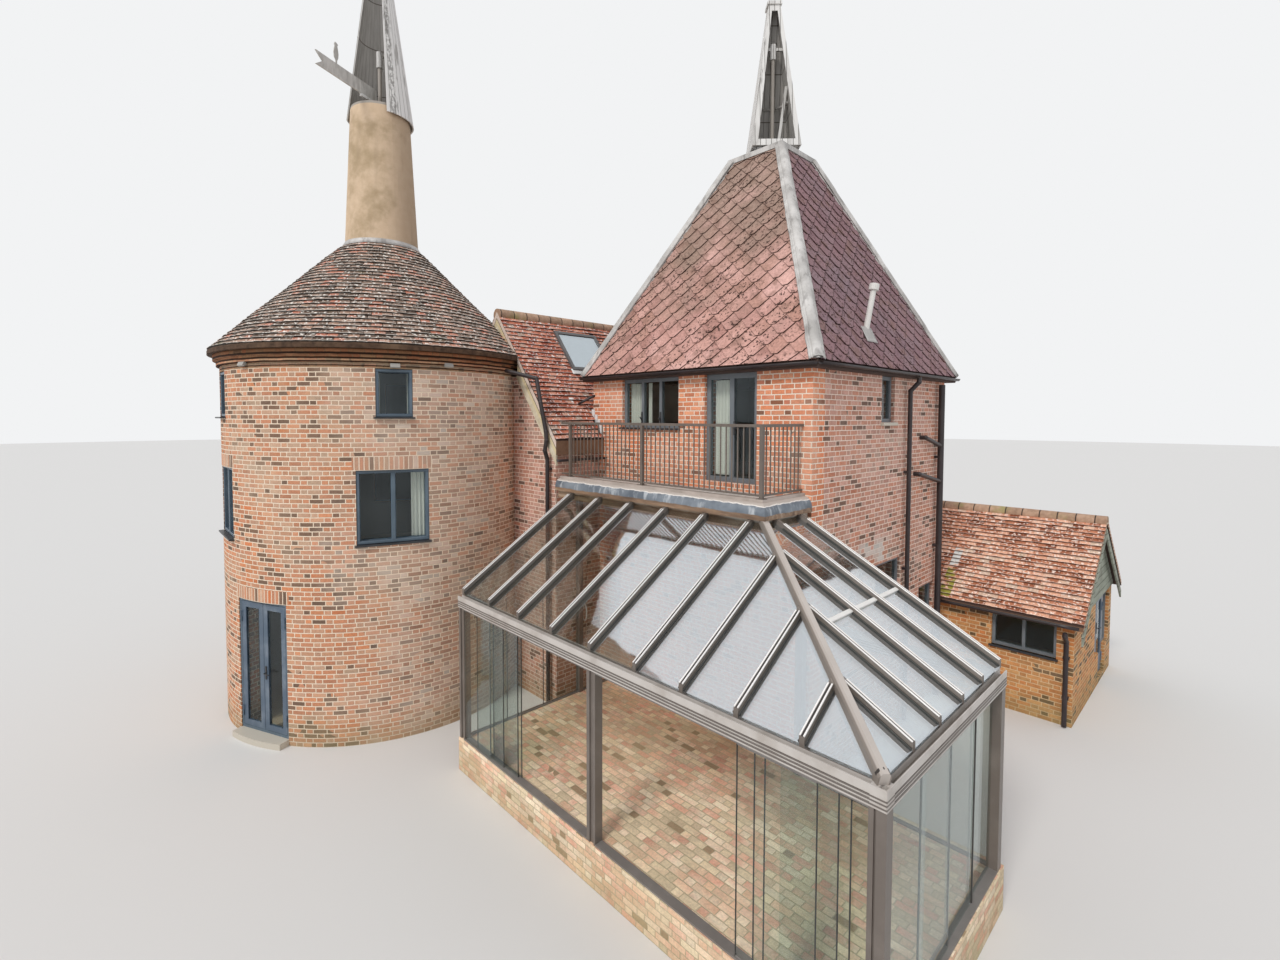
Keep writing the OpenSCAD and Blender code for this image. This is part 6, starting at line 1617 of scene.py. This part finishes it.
@dataclass
class RoundWindows:
    """Linings, sills and curtains of the round kiln's windows."""

    radius: float = ROUND_RADIUS
    back: float = 2.622
    cloth_at: float = 2.535
    lights: tuple[tuple[float, float, float, float], ...] = tuple(
        (a, w, z0, z1) for a in (-18.0, -92.0, 152.0)
        for w, z0, z1 in ((0.57, 5.36, 6.15), (1.12, 3.29, 4.5)))

    def spot(self, direction: float, reach: Sequence, across: Sequence, z: Sequence) -> Array:
        """Points at a distance out from the axis, a distance across and a height."""
        a = math.radians(direction)
        c, s = math.cos(a), math.sin(a)
        reach, across = np.asarray(reach, float), np.asarray(across, float)
        return rows(ROUND_AXIS[0] + reach * c - across * s, ROUND_AXIS[1] + reach * s + across * c, z)

    def window(self, number: int) -> None:
        """Line one window, with its sill, mullion and cloth."""
        direction, width, low, high = self.lights[number]
        if width > 1:
            direction -= 0.7 if direction == -18.0 else 0.0
        spot = partial(self.spot, direction)
        half = width / 2 - 0.003
        face = math.sqrt(self.radius ** 2 - (width / 2) ** 2) - 0.012
        middle, deep = (face + self.back) / 2, face - self.back
        out = spot(1, 0, 0) - spot(0, 0, 0)
        levels, foot, head = [high - 0.03, low + 0.03], low + 0.054, high - 0.054
        sides = np.array([half - 0.025, 0.025 - half])
        parts = [prisms(spot(middle, -half, levels), spot(middle, half, levels), deep, 0.05),
                 prisms(spot(middle, sides, foot), spot(middle, sides, head), 0.05, deep, out)]
        if width > 1:
            parts.append(prisms(spot(middle, 0, foot), spot(middle, 0, head), 0.075, deep, out))
        name = f"round_window_{number + 1}"
        make_piece(name + "_lining", *joined(*parts), FRAME_PAINT)
        sill = prisms(spot(face + 0.03, -half - 0.03, low - 0.012),
                      spot(face + 0.03, half + 0.03, low - 0.012), 0.12, 0.026)
        make_piece(name + "_sill", *sill, DARK_PAINT)
        cloth = partial(self.cloth, direction=direction, low=low, high=high)
        if direction == 152.0:
            cloth(name + "_blind", start=-half, end=half, deep=0.004, count=3, finish=BLIND)
        elif width > 1:
            cloth(name + "_curtain", start=half - 0.27, end=half - 0.02, deep=0.022, count=4)
        else:
            for n, start in ((1, -half), (2, half - 0.07)):
                cloth(f"{name}_curtain_{n}", start=start, end=start + 0.07, deep=0.014, count=2)

    def cloth(self, name: str, direction: float, start: float, end: float, low: float, high: float,
              deep: float, count: int, finish: Finish = CURTAIN) -> None:
        """Hang a sheet behind a window, between two distances across it."""
        s, t, wave = folds(count, deep)
        sheet = self.spot(direction, self.cloth_at + wave, start + (end - start) * s,
                          low + 0.04 + t * (high - low - 0.06))
        hang(name, sheet, finish)

    def build(self) -> None:
        """Line all six windows."""
        for number in range(len(self.lights)):
            self.window(number)


def hang(name: str, sheet: Array, finish: Finish) -> None:
    """Make a smooth piece from a hanging sheet of cloth.

    Args:
        name: the piece's name.
        sheet: its points, rows from foot to head.
        finish: its cloth.
    """
    points, faces = grid(sheet)
    piece = make_piece(name, points, faces, finish, smooth=True)


def radial(degrees: float) -> tuple[Array, Array]:
    """Unit vectors out from the round kiln's axis at an angle, and along its wall there."""
    a = math.radians(degrees)
    return np.array([math.cos(a), math.sin(a), 0.0]), np.array([-math.sin(a), math.cos(a), 0.0])


@dataclass
class Fittings:
    """Sills, curtains, handles, flashings and lead aprons of the square kiln and the stowage."""

    def cloths(self) -> None:
        """Curtains behind the French door's left leaf and the front window's first two lights."""
        for name, x0, x1, low, high, count in (("door_curtain", 0.53, 0.86, 4.45, 5.96, 5),
                                               ("window_curtain_1", -1.455, -1.14, 5.24, 5.98, 5),
                                               ("window_curtain_2", -1.0, -0.91, 5.24, 5.98, 2)):
            s, t, wave = folds(count, 0.02)
            sheet = rows(x0 + (x1 - x0) * s, wave - 2.33, low + t * (high - low))
            hang(name, sheet, CURTAIN)

    def sills(self) -> None:
        """Dark sills under the front and outbuilding windows, and a stone one under the side window."""
        for name, start, end, wide, high, finish in (
                ("front_window_sill", (-1.56, -2.5, 5.165), (-0.09, -2.5, 5.165), 0.12, 0.03, DARK_PAINT),
                ("side_window_sill", (2.35, -0.34, 5.26), (2.35, 0.22, 5.26), 0.11, 0.055, STEP_STONE),
                ("shed_window_sill", (3.24, 2.5, 1.125), (4.31, 2.5, 1.125), 0.12, 0.03, DARK_PAINT)):
            make_piece(name, *prisms(start, end, wide, high), finish)

    def lever(self, at: Sequence[float], out: Sequence[float], along: Sequence[float]) -> tuple:
        """Mesh of a lever handle on its plate: foot point, outward direction, lever's direction."""
        at, out, along = (np.asarray(v, float) for v in (at, out, along))
        middle, half = at + out * 0.006, np.array([0, 0, 0.11])
        plate = prisms(middle - half, middle + half, 0.034, 0.012, out)
        t = np.linspace(0, 1, 9)[:, None]
        bend = at + out * (0.012 + 0.045 * np.minimum(t * 2.2, 1))
        bend = bend + along * 0.13 * np.clip(t * 1.6 - 0.6, 0, 1)
        return joined(plate, tube(bend, np.full(9, 0.009), 10, (0, 0, 1)))

    def handles(self) -> None:
        """Levers on the French door, the round kiln's door and the outbuilding's, and window stays."""
        ahead, aside, up = (0, -1, 0), (1, 0, 0), (0, 0, 1)
        out, along = radial(-65.9)
        at = np.array([*ROUND_AXIS, 1.12]) + 2.707 * out + 0.05 * along
        for name, body, levers in (
                ("french_door_handle", HOUSE, [((0.985, -2.44, 5.2), ahead, aside)]),
                ("front_window_stays", HOUSE, [((x, -2.44, 5.35), ahead, up) for x in (-1.06, -0.6)]),
                ("round_door_handle", "round_door_right", [(at, out, along)]),
                ("outbuilding_door_handle", "outbuilding_door", [((4.47, 5.02, 1.12), aside, (0, 1, 0))])):
            meshes = joined(*(self.lever(*lever) for lever in levers))
            make_piece(name, *meshes, DARK_PAINT, body=body)

    def gutters(self) -> None:
        """Thin half-round gutters in place of the CAD ones."""
        t, a = np.linspace(0, 1, 9)[:, None, None], np.linspace(0, math.pi, 11)[None, :, None]
        runs = []
        for start, end, out, radius in (((-2.5, -2.696, 6.12), (2.5, -2.696, 6.12), (0, -1, 0), 0.042),
                                        ((2.546, -2.65, 6.12), (2.546, 2.65, 6.12), (1, 0, 0), 0.042),
                                        ((2.5, 2.696, 6.12), (-2.5, 2.696, 6.12), (0, 1, 0), 0.042),
                                        ((2.355, 2.298, 1.82), (4.62, 2.298, 1.82), (0, -1, 0), 0.046),
                                        ((-1.98, -3.64, 4.61), (-1.98, -2.51, 4.61), (1, 0, 0), 0.045)):
            start, end, out = (np.array(v, float) for v in (start, end, out))
            bowl = np.cos(a) * out - np.sin(a) * np.array([0, 0, 1.0])
            runs.append(grid(start + t * (end - start) + radius * bowl))
        piece = make_piece("half_round_gutters", *joined(*runs), PIPE_PAINT, smooth=True)
        thicken(piece, 0.005)
        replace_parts(piece, "eaves_gutters")

    def extras(self) -> None:
        """Three small lamps under the round cornice and an overflow pipe over the stowage roof."""
        lamps = []
        for turn, z in ((-70.1, 6.225), (-17.7, 6.2), (0.0, 6.25)):
            out, along = radial(turn)
            at = np.array([*ROUND_AXIS, z]) + 2.79 * out
            lamps.append(prisms(at - 0.05 * along, at + 0.05 * along, 0.03, 0.05, out))
            head = at + 0.04 * out + np.array([0, 0, -0.006])
            lamps.append(prisms(head - 0.075 * along, head + 0.075 * along, 0.07, 0.045,
                                out + [0, 0, 0.5]))
        make_piece("cornice_lamps", *joined(*lamps), LAMP_METAL)
        path = np.array([[-2.3, -2.47, 5.79], [-2.36, -2.54, 5.76], [-2.44, -2.64, 5.69],
                         [-2.52, -2.74, 5.62]])
        pipe = tube(path, np.full(4, 0.024), 12, (0, 0, 1))
        make_piece("overflow_pipe", *pipe, PIPE_PAINT, smooth=True)

    def flashings(self) -> None:
        """Stepped lead where the stowage roof meets the square kiln, and the rooflight's apron."""
        x = np.array([-2.348, -2.27, -2.19, -2.11])
        z = STOWAGE_RIDGE - STOWAGE_PITCH * np.abs(x - STOWAGE_MID)
        steps = prisms(rows(x, -2.508, z - 0.02), rows(x, -2.508, z + 0.17), 0.012, 0.09, (1, 0, 0), 0.15)
        make_piece("stepped_flashing", *steps, WHITE_LEAD)
        fall = math.hypot(1, STOWAGE_PITCH)
        slope = Slope((-2.03, -2.5, 4.94), (0, 1, 0), (-1, 0, STOWAGE_PITCH))
        u, v = np.meshgrid(np.linspace(0.0, 1.22, 25), np.linspace(1.0 * fall, 1.085 * fall, 5))
        ripple = 0.034 + 0.004 * np.sin(u * 14) * (1.1 * fall - v) * 10
        points, faces = grid(slope.place(u + 0.02, v, ripple))
        thicken(make_piece("rooflight_apron", points, faces, WHITE_LEAD, smooth=True), 0.004)

    def posts(self) -> None:
        """Base plates under the railing's posts."""
        at = np.array([[-1.81, -3.485, 4.314], [0.0, -3.485, 4.314], [2.195, -3.485, 4.314]])
        half = np.array([0.055, 0, 0])
        make_piece("rail_post_plates", *prisms(at - half, at + half, 0.1, 0.01), RAIL_METAL)

    def build(self) -> None:
        """Fit everything."""
        self.cloths()
        self.sills()
        self.handles()
        self.flashings()
        self.posts()
        self.gutters()
        self.extras()


@dataclass
class Studio:
    """The camera where the photograph was taken from, a pale floor and plain soft light."""

    eye: tuple[float, float, float] = (6.55553, -9.96057, 5.36467)
    azimuth: float = 0.8097683844
    pitch: float = 0.0402820891
    roll: float = 0.0017708303
    focal: float = 593.06686 / 1280
    centre: tuple[float, float] = (631.386, 441.260)
    floor_radius: float = 160.0

    def camera(self) -> None:
        """Set the camera from its azimuth, pitch, roll, focal length and picture centre."""
        az, pt, rl = self.azimuth, self.pitch, self.roll
        ahead = np.array([-math.sin(az), math.cos(az), 0.0])
        right = np.array([math.cos(az), math.sin(az), 0.0])
        up = np.array([0.0, 0.0, 1.0])
        look = math.cos(pt) * ahead - math.sin(pt) * up
        over = math.sin(pt) * ahead + math.cos(pt) * up
        across = math.cos(rl) * right + math.sin(rl) * over
        top = -math.sin(rl) * right + math.cos(rl) * over
        lens = bpy.data.cameras.new("photo_camera")
        lens.sensor_width = 36.0
        lens.lens = 36.0 * self.focal
        lens.shift_x = (640 - self.centre[0]) / 1280
        lens.shift_y = (self.centre[1] - 480) / 1280
        lens.clip_start, lens.clip_end = 0.05, 600.0
        camera = bpy.data.objects.new("photo_camera", lens)
        place = Matrix([[across[i], top[i], -look[i], self.eye[i]] for i in range(3)] + [[0, 0, 0, 1]])
        camera.matrix_world = place
        bpy.context.scene.collection.objects.link(camera)
        bpy.context.scene.camera = camera

    def floor(self) -> None:
        """A wide disc that is plain pale to the eye and keeps the house's shadow."""
        ring = np.linspace(0, math.tau, 97)[:-1]
        wide = self.floor_radius
        rim = rows(wide * np.cos(ring) - 2, wide * np.sin(ring), 0)
        mesh = bpy.data.meshes.new("studio_floor")
        mesh.from_pydata([tuple(p) for p in rim], [], [tuple(range(96))])
        piece = bpy.data.objects.new("studio_floor", mesh)
        bpy.context.scene.collection.objects.link(piece)
        r = Recipe("studio_floor")
        r.finish("D9D8D5", 0.95, specular=0.1)
        mesh.materials.append(r.material)

    def light(self) -> None:
        """A pale sky from all round and one soft sun from the front left."""
        scene = bpy.context.scene
        world = bpy.data.worlds.new("studio_world")
        world.use_nodes = True
        scene.world = world
        tree = world.node_tree
        tree.nodes.clear()
        out = tree.nodes.new("ShaderNodeOutputWorld")
        sky, view = tree.nodes.new("ShaderNodeBackground"), tree.nodes.new("ShaderNodeBackground")
        sky.inputs[0].default_value, sky.inputs[1].default_value = paint("F7F9FF"), 0.76
        view.inputs[0].default_value, view.inputs[1].default_value = paint("F2F3F4"), 1.0
        path, both, glossy, seen = (tree.nodes.new("ShaderNode" + k)
                                    for k in ("LightPath", "MixShader", "Math", "Math"))
        glossy.operation, seen.operation, seen.use_clamp = "ADD", "ADD", True
        for a, b in ((path.outputs["Is Camera Ray"], glossy.inputs[0]),
                     (path.outputs["Is Glossy Ray"], glossy.inputs[1]),
                     (glossy.outputs[0], seen.inputs[0]),
                     (path.outputs["Is Transmission Ray"], seen.inputs[1]),
                     (seen.outputs[0], both.inputs[0]), (sky.outputs[0], both.inputs[1]),
                     (view.outputs[0], both.inputs[2]), (both.outputs[0], out.inputs[0])):
            tree.links.new(a, b)
        lamp = bpy.data.lights.new("soft_sun", "SUN")
        lamp.energy, lamp.angle, lamp.color = 1.6, math.radians(16), (1.0, 0.975, 0.94)
        sun = bpy.data.objects.new("soft_sun", lamp)
        sun.rotation_mode = "QUATERNION"
        sun.rotation_quaternion = Vector((0.15, -0.8, 0.75)).to_track_quat("Z", "Y")
        sun.location = (0, -5, 25)
        scene.collection.objects.link(sun)
        scene.view_settings.view_transform = "Standard"

    def build(self) -> None:
        """Set the camera, the floor and the light."""
        self.camera()
        self.floor()
        self.light()


def main() -> None:
    """Build the sub-assemblies in order."""
    logging.basicConfig(level=logging.INFO, format="%(name)s: %(message)s")
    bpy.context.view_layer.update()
    Studio().build()
    dress_nodes()
    for part in (RoundRoof(), RoundWindows(), Stowage(), SquareRoof(), Outbuilding(), GlazedRoof(),
                 Fittings()):
        part.build()
        log.info("built %s", type(part).__name__)


if __name__ == "__main__":
    main()
